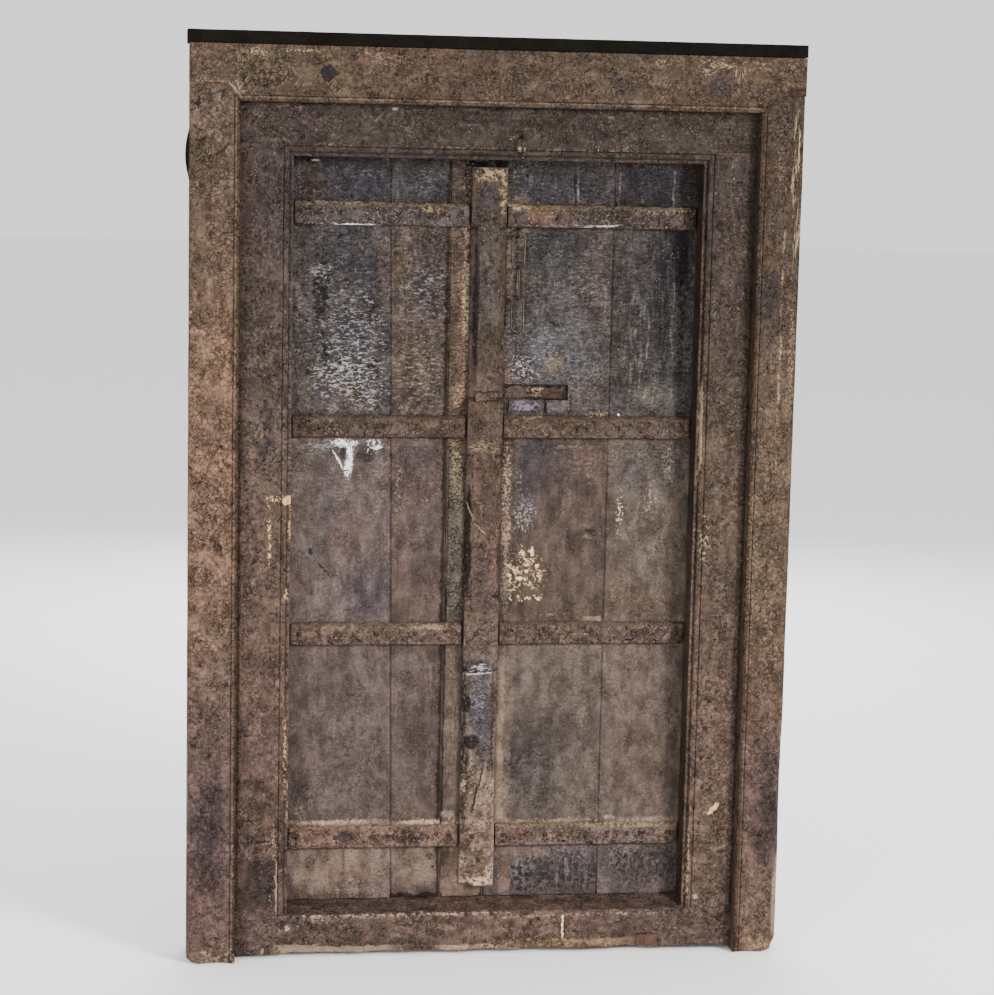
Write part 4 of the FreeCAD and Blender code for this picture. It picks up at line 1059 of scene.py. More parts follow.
innerPaint["inner_sill"]["marks"] = [
    dab(338, 950.5, 60, 4.2, (190, 176, 156), 0.95, box=True, soft=0.45, gloss=0.85, lift=-0.5),
    dab(300, 948, 18, 3.4, (196, 182, 164), 0.9, box=True, gloss=0.85),
    dab(262, 952, 2.0, 3.4, (196, 180, 160), 0.9, turn=-20, soft=0.4),
    patch(292, 950, 16, 4.5, (196, 178, 152), 0.95, 0.8, box=True, gloss=0.85, lift=-0.5),
    dab(476, 948, 46, 3.8, (188, 168, 144), 0.95, box=True, soft=0.45, gloss=0.85, lift=-0.5),
    dab(570, 943, 76, 4.5, (170, 146, 118), 0.85, box=True, soft=0.4, gloss=0.85, lift=-0.3),
    patch(690, 941, 40, 3.5, "rose", 0.7, 0.6),
    dab(647, 941, 10.5, 6.5, (136, 104, 88), 0.95, box=True, soft=0.15, late=True),
    dab(647, 934, 11, 0.8, "soot", 0.8, box=True, soft=0.3, late=True),
    streak(649, 941, 9, 6, (172, 144, 124), 0.7, 0.5, late=True),
    streak(642, 941, 5, 6, (92, 66, 54), 0.7, 0.55, late=True),
    dab(636, 941, 0.8, 6, "soot", 0.7, box=True, soft=0.3, late=True),
    dab(658, 941, 0.8, 6, "soot", 0.7, box=True, soft=0.3, late=True),
    dab(562, 927, 1.1, 12.5, (236, 222, 186), 1.0, box=True, soft=0.2, lift=0.3),
    lump(400, 915, 118, 1.5, (184, 168, 150), 0.9, 0.74),
    fine(372, 918, 40, 1.0, (188, 172, 154), 0.8, 0.62),
    dab(258, 919, 25, 0.9, (140, 122, 110), 0.7, soft=0.4),
    lump(524, 917, 38, 1.4, (176, 158, 140), 0.85, 0.66), lump(320, 919, 14, 4, (166, 148, 132), 0.8, 0.6),
    patch(316, 934, 26, 8, (86, 62, 56), 0.6, 0.6), lump(284, 928, 6, 5, (178, 162, 142), 0.8, 0.55),
    lump(600, 914, 90, 1.6, (168, 150, 134), 0.8, 0.62),
    wrinkle(612, 921, 20, 1.2, (180, 164, 148), 0.8, 0.6),
    streak(470, 932, 1.4, 5, (190, 174, 156), 0.8, 0.7), patch(318, 922, 12, 6, "beige", 0.7, 0.6),
    fine(287, 929, 3, 3, "butter", 0.9, 0.7), wrinkle(651, 910, 7, 2, "ash", 0.7, 0.6),
    patch(600, 921, 22, 2, "rose", 0.5, 0.6), patch(640, 930, 20, 9, "rust", 0.35, 0.5),
    patch(350, 935, 50, 9, "umber", 0.4, 0.5),
]
innerWear = dict(cell=0.036, arris=0.0016, broad=0.002, fine=0.0014, along="Y")
innerLook = dict(plane=-0.032, bare=0.045, fleck=0.5, cell=0.009, lump=0.0068, mottle=0.95)
sillDents = (-0.38, -0.31, -0.2, -0.1, 0.02, 0.12, 0.3)  # x of the knocks along its foot


def isFront(point):
    return point[1] < 0.0


for node, look in innerPaint.items():
    piece = wornCopy(node, **innerWear)
    if node == "inner_sill":
        fray(piece, 2, False, 0.03, 0.005, 0.05, seed=3.7, where=isFront)
        reshape(piece, [((x, -0.032, 0.012), (0.06, 0.02, 0.02), (0, 0.006, 0.001)) for x in sillDents])
    finishPiece(piece, node, paint(node + "_paint", **innerLook, **look))
    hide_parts(node)
print("the inner frame is done")

# the boards of the leaves
leafPaint = {
    "left_hinge_board": dict(
        tones=[
            (0.0, (157, 138, 130)), (0.12, (157, 138, 130)), (0.13, (132, 114, 107)),
            (0.35, (132, 114, 107)), (0.37, (141, 123, 118)), (0.57, (141, 123, 118)),
            (0.6, (114, 105, 105)), (0.8, (114, 105, 105)), (0.82, (70, 67, 72)),
        ],
    ),
    "left_middle_board": dict(
        tones=[
            (0.0, (148, 127, 118)), (0.12, (148, 127, 118)), (0.13, (128, 110, 101)),
            (0.35, (128, 110, 101)), (0.37, (130, 108, 99)), (0.57, (130, 108, 99)), (0.6, (116, 100, 90)),
            (0.8, (116, 100, 90)), (0.82, (76, 75, 76)),
        ],
    ),
    "left_meeting_board": dict(
        tones=[
            (0.0, (156, 137, 121)), (0.12, (156, 137, 121)), (0.13, (136, 116, 103)),
            (0.35, (136, 116, 103)), (0.37, (126, 104, 93)), (0.57, (126, 104, 93)), (0.6, (124, 102, 85)),
            (0.8, (124, 102, 85)), (0.82, (92, 80, 72)),
        ],
    ),
    "right_meeting_board": dict(
        tones=[
            (0.0, (138, 124, 123)), (0.12, (138, 124, 123)), (0.13, (136, 119, 109)),
            (0.35, (136, 119, 109)), (0.37, (114, 94, 83)), (0.57, (114, 94, 83)), (0.6, (104, 93, 89)),
            (0.8, (104, 93, 89)), (0.82, (82, 77, 78)),
        ],
    ),
    "right_hinge_board": dict(
        tones=[
            (0.0, (140, 125, 121)), (0.12, (140, 125, 121)), (0.13, (141, 123, 113)),
            (0.35, (141, 123, 113)), (0.37, (140, 122, 108)), (0.57, (134, 116, 103)), (0.6, (83, 79, 78)),
            (0.8, (83, 79, 78)), (0.82, (66, 62, 63)),
        ],
    ),
}
leafPaint["left_hinge_board"]["marks"] = [
    dab(362, 184, 32, 16, (76, 72, 82), 0.85, soft=0.6, gloss=0.32),
    wrinkle(370, 172, 22, 5, (120, 116, 124), 0.6, 0.4), dab(312, 182, 14, 18, "umber", 0.7, soft=0.8),
    dab(308, 159, 7, 3, "soot", 0.8), dab(315, 160, 3.5, 1.0, (204, 192, 180), 0.9, soft=0.3),
    fine(300, 186, 2.5, 10, "ash", 0.8, 0.6),
    dab(348, 255, 36, 36, (60, 58, 62), 0.85, soft=0.7, gloss=0.3),
    dab(352, 330, 40, 60, (74, 70, 72), 0.7, soft=0.8, gloss=0.32),
    patch(322, 292, 9, 34, "soot", 0.95, 0.8), patch(379, 300, 6, 30, "soot", 0.8, 0.7),
    # the silver and pale grey wrinkles here are painted reflections on the gloss paint
    patch(330, 344, 18, 10, "soot", 0.7, 0.7), wrinkle(352, 335, 40, 62, "silver", 0.9, 0.46),
    wrinkle(345, 375, 38, 26, (190, 186, 184), 0.85, 0.55), wrinkle(322, 268, 12, 8, "silver", 0.8, 0.56),
    fine(350, 370, 40, 36, "ash", 0.8, 0.4), wrinkle(368, 392, 20, 16, (196, 194, 192), 0.9, 0.5),
    dab(348, 392, 15, 10, (108, 88, 76), 0.85, soft=0.6),
    dab(305, 375, 7, 44, (120, 112, 104), 0.8, soft=0.7), dab(383, 270, 6, 55, "brown", 0.6, soft=0.9),
    fine(345, 408, 44, 4, "beige", 0.7, 0.6), dab(306, 500, 8, 60, (138, 128, 116), 0.75, soft=0.8),
    streak(322, 510, 10, 46, (128, 122, 126), 0.6, 0.6),
    lump(344, 443, 12, 4, (228, 226, 226), 1.0, 0.8, lift=0.6),
    patch(349, 460, 3.6, 17, (228, 226, 226), 1.0, 0.85, turn=-6, lift=0.6),
    dab(343, 454, 3.4, 6, (70, 62, 64), 0.95, soft=0.4),
    dab(338, 460, 1.2, 11, "white", 0.8, turn=28, soft=0.4),
    patch(374, 446, 8, 7, "white", 0.9, 0.66, lift=0.4), wrinkle(318, 448, 14, 8, "silver", 0.6, 0.62),
    dab(366, 454, 9, 9, "plum", 0.8, soft=0.4), lump(378, 497, 6, 24, (168, 150, 132), 0.75, 0.5),
    wrinkle(338, 495, 12, 20, "ash", 0.7, 0.58), dab(370, 590, 24, 30, "violet", 0.55, soft=0.9),
    dab(310, 553, 12, 14, "ash", 0.5, soft=0.9), dab(310, 552, 3, 3, "soot", 0.95, soft=0.4),
    dab(325, 570.5, 1.2, 11, "soot", 0.85, turn=41), dab(355, 535, 24, 20, "brown", 0.5, soft=1),
    lump(299, 300, 1.2, 90, (150, 140, 126), 0.7, 0.6),
    streak(330, 700, 26, 50, (128, 116, 112), 0.45, 0.5), patch(350, 760, 40, 50, (98, 84, 76), 0.5, 0.5),
    patch(303, 790, 10, 8, (74, 68, 80), 0.75, 0.7), wrinkle(350, 705, 30, 22, "ash", 0.45, 0.5),
    patch(312, 785, 12, 34, "slate", 0.5, 0.55), patch(345, 815, 46, 10, "beige", 0.5, 0.55),
    dab(340, 870, 48, 26, (162, 143, 128), 0.8, soft=0.6, gloss=0.9),
    dab(338, 823.5, 47, 3.4, (190, 170, 150), 0.9, box=True, soft=0.95),
    lump(334, 822, 40, 2.6, (208, 192, 172), 0.85, 0.66), lump(352, 826, 36, 4, (96, 78, 70), 0.5, 0.5),
    patch(300, 815, 6, 10, (196, 178, 152), 0.7, 0.6), lump(308, 864, 9, 9, (84, 72, 68), 0.85, 0.62),
    patch(358, 884, 20, 10, (96, 84, 78), 0.75, 0.5), streak(342, 868, 2.6, 22, (104, 88, 80), 0.8, 0.75),
    streak(326, 878, 3, 14, (178, 160, 144), 0.7, 0.7), lump(340, 896, 46, 4, (60, 48, 42), 0.8, 0.66),
    lump(365, 860, 12, 18, (110, 94, 86), 0.7, 0.5), dab(298, 880, 5, 16, (172, 154, 138), 0.8, soft=0.7),
    lump(332, 866, 34, 20, (88, 76, 70), 0.6, 0.4), patch(378, 850, 10, 14, "mauve", 0.5, 0.5),
]
leafPaint["left_middle_board"]["marks"] = [
    dab(420, 181, 26, 18, (82, 79, 82), 0.85, soft=0.6, gloss=0.32),
    wrinkle(425, 178, 16, 12, "ash", 0.5, 0.5), patch(430, 252, 20, 22, (60, 54, 56), 0.8, 0.8, gloss=0.3),
    dab(430, 290, 22, 26, (64, 60, 62), 0.8, soft=0.8, gloss=0.34),
    wrinkle(425, 296, 26, 36, "silver", 0.7, 0.42), dab(400, 262, 7, 36, "brown", 0.75, soft=0.8),
    fine(415, 350, 22, 44, "tan", 0.5, 0.5), wrinkle(420, 370, 26, 42, (178, 162, 140), 0.8, 0.36),
    fine(410, 408, 26, 5, "beige", 0.6, 0.55), dab(418, 460, 22, 20, (92, 80, 82), 0.7, soft=0.9),
    lump(398, 495, 4.5, 34, (190, 174, 150), 0.8, 0.45), lump(425, 500, 7, 1.6, (176, 160, 140), 0.7, 0.55),
    dab(430, 540, 20, 50, "violet", 0.3, soft=1), dab(415, 600, 20, 20, "brown", 0.5, soft=1),
    dab(420, 730, 26, 80, "mauve", 0.3, soft=1), streak(430, 690, 16, 34, "beige", 0.35, 0.5),
    patch(420, 815, 26, 10, "beige", 0.6, 0.6),
    dab(420, 866, 26, 20, (158, 140, 124), 0.8, soft=0.7, gloss=0.9),
    dab(420, 823.5, 27, 3.4, (192, 174, 154), 0.9, box=True, soft=0.95),
    lump(422, 822, 24, 2.6, (214, 198, 178), 0.85, 0.7), patch(432, 866, 4, 4, "soot", 0.8, 0.7),
    lump(420, 890, 26, 5, (96, 76, 66), 0.8, 0.66), lump(429, 856, 5, 3, "soot", 0.8, 0.75),
    lump(414, 868, 16, 8, (176, 158, 142), 0.6, 0.5),
]
leafPaint["left_meeting_board"]["marks"] = [
    # the black box at the top is painted shadow in the slot above the cover strip
    dab(458, 182, 12, 18, "umber", 0.6, soft=0.9), dab(478, 164, 12, 3.5, "black", 1.0, box=True, soft=0.3),
    fine(466, 190, 5, 26, "beige", 0.7, 0.6), lump(467, 300, 4.5, 76, (184, 166, 142), 0.9, 0.8),
    patch(460, 350, 4, 14, (176, 140, 124), 0.6, 0.6), dab(451, 300, 6, 70, "brown", 0.8, soft=0.8),
    patch(463, 375, 7, 20, (164, 132, 112), 0.7, 0.6), lump(460, 397, 7, 9, (176, 156, 126), 0.8, 0.7),
    wrinkle(447, 411, 22, 3, "soot", 0.8, 0.62),
    dab(456, 530, 5, 82, (134, 130, 118), 0.9, box=True, soft=0.3),
    wrinkle(456, 470, 7, 34, "cream", 0.7, 0.56), fine(456, 530, 6, 60, "cream", 0.5, 0.5),
    patch(461, 432, 5, 6, (160, 110, 76), 0.8, 0.6), dab(466, 600, 2.2, 60, "soot", 0.7),
    dab(440, 560, 8, 56, "mauve", 0.6, soft=0.8), streak(452, 730, 12, 70, "beige", 0.45, 0.5),
    dab(443, 858, 3, 10, "soot", 0.8), torn(450, 823, 9, 6, (196, 178, 160), 0.9, 0.72),
    dab(450, 824, 8, 5, (150, 128, 112), 0.7, soft=0.8),
    dab(447, 814, 7, 4, (190, 174, 158), 0.7, soft=0.9), dab(447, 855, 2.5, 11, (84, 66, 56), 0.85),
    dab(452, 858, 5, 6, (120, 98, 84), 0.7, soft=0.6), patch(455, 870, 14, 20, "beige", 0.6, 0.6),
]
leafPaint["right_meeting_board"]["marks"] = [
    dab(545, 185, 36, 18, (72, 71, 76), 0.9, gloss=0.32),
    streak(530, 182, 3, 14, (120, 122, 126), 0.7, 0.6), streak(556, 184, 3, 14, (112, 110, 116), 0.6, 0.6),
    dab(518, 248, 13, 54, (136, 118, 103), 0.85, soft=0.6),
    fine(519, 174, 5, 10, (122, 120, 122), 0.7, 0.56),
    dab(588, 184, 14, 20, (58, 56, 60), 0.85, soft=0.6, gloss=0.32),
    dab(575, 190, 1, 24, "soot", 0.8, soft=0.4), dab(578, 190, 1.2, 16, "ash", 0.7),
    # the black box at the top of the meeting edge is painted shadow in the slot above the cover strip
    dab(538, 185, 2, 2, "black", 1, soft=0.3), dab(500, 164, 9, 3.5, "black", 1.0, box=True, soft=0.3),
    fine(540, 180, 6, 7, "ash", 0.5, 0.55), dab(527, 176, 2, 1.6, "black", 1, soft=0.3),
    fine(515, 185, 3, 20, "beige", 0.7, 0.6),
    dab(555, 250, 40, 26, (66, 66, 68), 0.85, soft=0.6, gloss=0.3),
    fine(550, 258, 30, 30, "ash", 0.7, 0.34),
    dab(560, 300, 44, 40, (92, 86, 86), 0.7, soft=0.8, gloss=0.38),
    wrinkle(585, 290, 20, 40, "ash", 0.45, 0.48), patch(545, 300, 12, 18, (62, 64, 66), 0.7, 0.6),
    # the thin soot dabs beside and below the chain links are painted shadow of the chain
    fine(512, 300, 4, 60, "tan", 0.8, 0.62), dab(513, 250, 1.1, 18, "soot", 0.8, soft=0.6),
    dab(527, 250, 1.1, 18, "soot", 0.8, soft=0.6), dab(513, 312, 1.1, 17, "soot", 0.8, soft=0.6),
    dab(526, 312, 1.1, 17, "soot", 0.8, soft=0.6), dab(520, 281, 2.4, 17, "soot", 0.7, soft=0.6),
    dab(519, 332, 7, 1.4, "soot", 0.7, soft=0.6),
    dab(558, 407, 11, 5, (128, 118, 120), 0.85, box=True, soft=0.3),
    dab(546.5, 407, 1.0, 6, "soot", 0.9, box=True, soft=0.4),
    dab(570, 404, 0.9, 10, "soot", 0.8, box=True, soft=0.4),
    fine(527, 417, 20, 1.6, (150, 134, 104), 0.8, 0.55),
    dab(560, 350, 44, 40, (120, 117, 121), 0.8, soft=0.8, gloss=0.36),
    # the pale grey wrinkles here are painted reflections on the gloss paint
    lump(524, 366, 18, 19, (200, 198, 200), 0.8, 0.44),
    wrinkle(524, 370, 16, 14, (206, 204, 208), 0.8, 0.4), fine(540, 345, 34, 22, "silver", 0.7, 0.3),
    fine(585, 375, 26, 34, "silver", 0.6, 0.34), dab(555, 365, 10, 12, "beige", 0.7, soft=0.8),
    dab(578, 245, 1, 60, "soot", 0.35, soft=0.6), dab(507, 378, 3, 14, "tan", 0.9),
    lump(600, 414, 13, 2.4, (206, 188, 138), 0.9, 0.6), dab(540, 450, 26, 26, (92, 84, 90), 0.8, soft=0.8),
    dab(530, 480, 14, 40, (86, 78, 88), 0.6, soft=0.9), lump(507, 480, 5, 36, (184, 166, 146), 0.85, 0.72),
    lump(524, 514, 12, 20, (184, 176, 174), 0.8, 0.56), lump(519, 480, 4, 16, (168, 160, 158), 0.7, 0.5),
    lump(590, 472, 6, 12, (158, 142, 128), 0.6, 0.6), lump(566, 447, 30, 2, (168, 150, 134), 0.7, 0.6),
    lump(506, 530, 4, 28, (188, 166, 146), 0.85, 0.85), fine(512, 502, 7, 40, "ash", 0.5, 0.5),
    dab(527, 572, 23, 30, (104, 90, 68), 0.6, soft=0.7),
    patch(525, 570, 18, 24, (228, 212, 188), 1.0, 0.5, lift=0.5),
    patch(514, 574, 9, 19, (228, 212, 188), 1.0, 0.56, lift=0.5),
    patch(537, 578, 9, 14, (228, 212, 188), 1.0, 0.6, lift=0.5),
    patch(532, 554, 5, 9, (228, 212, 188), 1.0, 0.62, lift=0.5),
    patch(528, 598, 20, 4, (228, 212, 188), 1.0, 0.52, lift=0.5),
    lump(506, 585, 4, 28, (172, 158, 144), 0.85, 0.85), dab(590, 531, 6, 1.8, (48, 40, 38), 0.9, soft=0.4),
    dab(589, 537, 6.5, 2.4, (160, 150, 138), 0.8), dab(590, 525, 8, 3, (140, 124, 110), 0.6, soft=0.8),
    dab(585, 465, 8, 18, "rose", 0.2, soft=0.9), dab(570, 600, 40, 30, "brown", 0.5, soft=1),
    dab(592, 619.5, 9, 2.6, (176, 158, 138), 0.85, box=True),
    lump(550, 614, 26, 2.4, (158, 142, 120), 0.7, 0.5),
    dab(535, 760, 30, 56, (66, 66, 66), 0.65, soft=0.9, gloss=0.45),
    wrinkle(535, 780, 28, 40, "ash", 0.4, 0.5),
    dab(500, 735, 3.6, 96, (166, 148, 130), 0.9, box=True, soft=0.6),
    dab(506, 740, 5, 80, (140, 122, 106), 0.6, soft=0.9),
    dab(502, 806, 6, 26, (170, 154, 122), 0.5, soft=1), patch(527, 760, 26, 14, (58, 54, 58), 0.6, 0.66),
    wrinkle(520, 775, 22, 3, (110, 108, 110), 0.7, 0.6),
    streak(550, 665, 46, 14, (134, 116, 104), 0.5, 0.5), patch(540, 800, 40, 22, (84, 76, 74), 0.5, 0.5),
    dab(548, 822, 48, 3.2, (172, 152, 132), 0.8, box=True, soft=0.95),
    lump(560, 820, 40, 2.6, (196, 178, 156), 0.8, 0.6),
    patch(560, 870, 56, 22, (58, 54, 60), 0.85, 0.8, gloss=0.32),
    streak(550, 864, 40, 20, (120, 108, 100), 0.6, 0.45), patch(520, 850, 14, 8, (150, 130, 112), 0.8, 0.6),
    dab(503, 868, 7, 24, (164, 138, 124), 0.85, box=True, soft=0.9),
    lump(530, 853, 16, 6, (158, 140, 122), 0.8, 0.66), streak(554, 876, 5, 14, (146, 138, 138), 0.85, 0.66),
    streak(566, 866, 2.6, 18, (150, 144, 146), 0.8, 0.72),
    streak(584, 872, 3, 20, (128, 120, 122), 0.8, 0.66),
    streak(572, 882, 1.6, 16, (146, 138, 138), 0.7, 0.7), patch(520, 878, 10, 16, (46, 42, 52), 0.8, 0.75),
    streak(590, 870, 30, 22, "ash", 0.5, 0.5),
]
leafPaint["right_hinge_board"]["marks"] = [
    dab(655, 188, 36, 22, (58, 55, 58), 0.9, soft=0.4, gloss=0.32), dab(620, 190, 1, 24, "ash", 0.5),
    dab(674, 192, 1.2, 22, "ash", 0.6), fine(655, 168, 20, 2.5, "ash", 0.7, 0.6),
    dab(640, 250, 20, 30, (82, 74, 74), 0.7, soft=0.8, gloss=0.4),
    streak(668, 265, 20, 44, (48, 44, 52), 0.9, 0.8, gloss=0.3),
    dab(680, 255, 9, 34, "soot", 0.9, soft=0.6, gloss=0.3),
    streak(660, 330, 18, 60, (58, 60, 66), 0.8, 0.72, gloss=0.3),
    streak(664, 300, 9, 60, (40, 38, 44), 0.85, 0.75), patch(684, 316, 8, 46, "soot", 0.85, 0.7),
    streak(640, 340, 16, 60, "ash", 0.5, 0.55), streak(651, 316, 2.4, 56, (132, 126, 120), 0.7, 0.6),
    streak(672, 330, 2.0, 50, (140, 138, 138), 0.7, 0.6),
    dab(664, 396, 34, 15, (128, 123, 116), 0.6, soft=0.9),
    dab(690, 350, 7, 66, (104, 100, 102), 0.8, soft=0.7, gloss=0.36),
    streak(640, 385, 20, 34, (140, 130, 116), 0.7, 0.5),
    streak(655, 402, 20, 12, (146, 136, 118), 0.7, 0.5),
    dab(698, 392, 6, 52, (112, 110, 108), 0.8, soft=0.6), dab(672, 380, 1.2, 36, "ash", 0.5),
    dab(618, 415, 1.3, 1.3, "white", 1.0, soft=0.2, lift=0.4),
    dab(650, 470, 40, 30, (102, 98, 98), 0.7, soft=0.8), fine(645, 545, 30, 60, "ash", 0.5, 0.5),
    streak(655, 500, 28, 40, "tan", 0.4, 0.5), dab(690, 500, 6, 70, (112, 106, 104), 0.7, soft=0.8),
    lump(620, 512, 5, 24, (214, 200, 184), 0.9, 0.52), lump(648, 502, 12, 16, (176, 164, 150), 0.7, 0.48),
    lump(668, 462, 7, 24, (176, 162, 146), 0.7, 0.56), patch(662, 540, 9, 24, (52, 46, 42), 0.7, 0.56),
    dab(650, 600, 36, 20, "brown", 0.5, soft=1), patch(650, 634, 36, 4, "beige", 0.7, 0.62),
    dab(645, 740, 36, 80, "brown", 0.4, soft=1), dab(600, 640, 4, 4, "beige", 0.5),
    dab(648, 820, 36, 3.6, (172, 158, 140), 0.8, box=True, soft=0.9),
    torn(611, 818, 9, 3.6, (200, 186, 166), 0.9, 0.66), lump(645, 820, 30, 2.4, (192, 174, 152), 0.8, 0.6),
    patch(645, 864, 34, 20, (60, 56, 62), 0.85, 0.75, gloss=0.34),
    streak(608, 876, 4, 16, (134, 126, 126), 0.8, 0.66),
    streak(628, 868, 12, 22, (140, 124, 116), 0.7, 0.55),
    streak(660, 872, 3, 18, (128, 118, 116), 0.8, 0.66), patch(616, 856, 10, 12, (50, 46, 54), 0.8, 0.7),
    streak(650, 866, 36, 22, "ash", 0.45, 0.5),
]
boardWear = dict(cell=0.036, arris=0.0012, broad=0.0008, fine=0.0006, along="Y")
boardLook = dict(
    plane=0.033,
    bare=0.05,
    second="mauve",
    secondShare=0.25,
    fleck=0.3,
    crack=0.3,
    cell=0.007,
    crackWidth=0.13,
    streak=0.3,
    depth=0.0018,
    rough=(0.4, 0.62),
    mottle=0.4,
    grit=0.5,
    lump=0.0055,
    ripple=0.7,
    curl=0.15,
    drip=0.4,
    worn=0.85,
    wornTone=(46, 38, 34),
    wornFrom=0.74,
)
seam = {
    "boards": ("left_hinge_board", "left_middle_board"),
    "x": -0.196164,
    "lean": 0.011,  # to the right at the bottom, over half its height
    "middle": 0.87,
    "half": 0.76,
    "reach": 0.09,
}
foot = {"y": 0.046, "z": 0.108, "from": 0.105, "to": 0.15, "every": 0.03}  # the lower ends of the boards


def leanSeam(piece):
    # the planks taper, so the seam between the first two leans
    for vertex in piece.data.vertices:
        share = max(0.0, 1 - abs(vertex.co.x - seam["x"]) / seam["reach"])
        vertex.co.x += share * seam["lean"] * (seam["middle"] - vertex.co.z) / seam["half"]


def isFoot(point):
    return foot["from"] < point[2] < foot["to"]


for node, look in leafPaint.items():
    piece = wornCopy(node, **boardWear)
    if node in seam["boards"]:
        leanSeam(piece)
    fray(piece, 2, False, 0.05, 0.004, 0.03, seed=len(node), where=isFoot)
    if node == "right_meeting_board":  # the meeting edge swells above the strip
        reshape(piece, [((0.0087, 0.046, 1.64), (0.03, 0.1, 0.06), (-0.0024, 0, 0))])
    places = np.arange(-0.41, 0.43, foot["every"])
    reshape(piece, [((x, foot["y"], foot["z"]), (0.045, 0.04, 0.02), (0, 0, -0.0022)) for x in places])
    finishPiece(piece, node, paint(node + "_paint", **boardLook, **look))
    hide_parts(node)

# a thin worn lath on the left meeting board
lathPlace = {"front": 0.0305, "back": 0.0345, "top": (449, 441), "foot": (463, 617), "over": 0.002}
lathTop, lathFoot = (spotOn(*lathPlace[end], lathPlace["front"]) for end in ("top", "foot"))
lath = slab(
    "split_lath",
    Vector((lathTop.x, lathPlace["front"], lathFoot.z)),
    Vector((lathFoot.x + lathPlace["over"], lathPlace["back"], lathTop.z)),
    cell=0.016,
    arris=0.001,
    broad=0.001,
)
for atHigh, seed in ((False, 4.4), (True, 6.1)):
    fray(lath, 0, atHigh, 0.012, 0.003, 0.012, seed=seed)
lathPaint = paint(
    "split_lath_paint",
    plane=0.0305,
    tones=[(0.0, (128, 118, 104)), (0.5, (132, 122, 106)), (0.55, (150, 136, 112))],
    second=(104, 94, 84),
    crack=0.6,
    cell=0.008,
    crackRegion=0.4,
    lump=0.005,
    marks=[
        lump(456, 470, 8, 34, (190, 172, 142), 0.8, 0.5), crackle(456, 470, 8, 34, "soot", 0.6, 0.2),
        dab(456, 560, 5, 56, (138, 132, 122), 0.6, soft=0.8),
        patch(458, 445, 5, 7, (160, 112, 78), 0.7, 0.6),
    ],
)
finishPiece(lath, "left_meeting_board", lathPaint)
print("the boards are done")

# the battens
battenPaint = {
    "left_batten_4": dict(
        tones=[(0.0, (110, 99, 97)), (1, (110, 99, 97))],
    ),
    "right_batten_4": dict(
        tones=[(0.0, (101, 87, 82)), (1, (101, 87, 82))],
    ),
    "left_batten_3": dict(
        tones=[(0.0, (118, 98, 84)), (1, (118, 98, 84))],
    ),
    "right_batten_3": dict(
        tones=[(0.0, (118, 98, 84)), (1, (118, 98, 84))],
    ),
    "left_batten_2": dict(
        tones=[(0.0, (145, 121, 107)), (1, (145, 121, 107))],
    ),
    "right_batten_2": dict(
        tones=[(0.0, (129, 106, 94)), (1, (129, 106, 94))],
    ),
    "left_batten_1": dict(
        tones=[(0.0, (164, 139, 124)), (1, (164, 139, 124))],
    ),
    "right_batten_1": dict(
        tones=[(0.0, (150, 127, 116)), (1, (150, 127, 116))],
    ),
}
battenPaint["left_batten_4"]["marks"] = [
    patch(350, 203, 40, 3.5, (172, 156, 124), 0.85, 0.72), fine(345, 213, 44, 8, "steel", 0.4, 0.5),
    # the white and silver lines along the lower edge, here and below, are painted highlights
    patch(440, 208, 22, 8, (150, 122, 84), 0.7, 0.6), grain(356, 225, 20, 1.5, "white", 1.0, 0.85),
    lump(345, 202, 44, 2.4, (192, 174, 140), 0.8, 0.62), lump(428, 207, 8, 5, (196, 176, 138), 0.8, 0.6),
    fine(352, 226, 42, 1.0, "silver", 0.8, 0.5), fine(320, 224, 16, 1.4, "silver", 0.8, 0.66),
    fine(440, 227, 24, 1.4, "silver", 0.8, 0.66), fine(420, 224, 50, 1.2, "beige", 0.5, 0.6),
]
battenPaint["right_batten_4"]["marks"] = [
    lump(518, 204, 16, 4.5, (204, 188, 154), 0.9, 0.8), patch(545, 207, 26, 4, (176, 146, 104), 0.8, 0.62),
    dab(540, 216, 14, 7, (150, 118, 96), 0.85, soft=0.7),
    dab(565, 214, 12, 6, (140, 116, 88), 0.7, soft=0.8), dab(600, 218, 30, 6, (102, 92, 94), 0.7, soft=0.8),
    fine(655, 211, 34, 5, "beige", 0.6, 0.56), fine(684, 210, 12, 4, "cream", 0.8, 0.6),
    # the pale line along the lower edge is a painted highlight
    grain(598, 225.5, 22, 1.5, (208, 204, 200), 0.95, 0.8), fine(540, 226, 24, 1.3, "beige", 0.8, 0.64),
    fine(655, 228, 40, 1.3, "tan", 0.7, 0.6),
]
battenPaint["left_batten_3"]["marks"] = [
    patch(340, 417, 40, 4, "beige", 0.7, 0.62), patch(325, 430, 26, 8, "mauve", 0.6, 0.6),
    # the black wrinkle is painted shade in the gouge over the upper edge
    wrinkle(445, 410, 22, 2.4, "black", 0.85, 0.72), wrinkle(448, 414, 18, 2, "cream", 0.6, 0.6),
    patch(452, 425, 12, 5, (166, 118, 86), 0.6, 0.55), dab(425, 425, 12, 7, "olive", 0.6, soft=0.9),
    patch(370, 428, 30, 8, "umber", 0.5, 0.6),
]
battenPaint["right_batten_3"]["marks"] = [
    patch(530, 417, 16, 3, "cream", 0.7, 0.62), lump(598, 415, 12, 2.4, (206, 188, 138), 0.85, 0.6),
    patch(515, 432, 12, 6, (150, 110, 88), 0.6, 0.6), dab(685, 425, 7, 6, "rose", 0.8, soft=0.6),
    fine(640, 421, 40, 2, "beige", 0.5, 0.58), dab(575, 428, 40, 7, "olive", 0.35, soft=1),
    fine(540, 430, 26, 7, "tan", 0.4, 0.5),
]
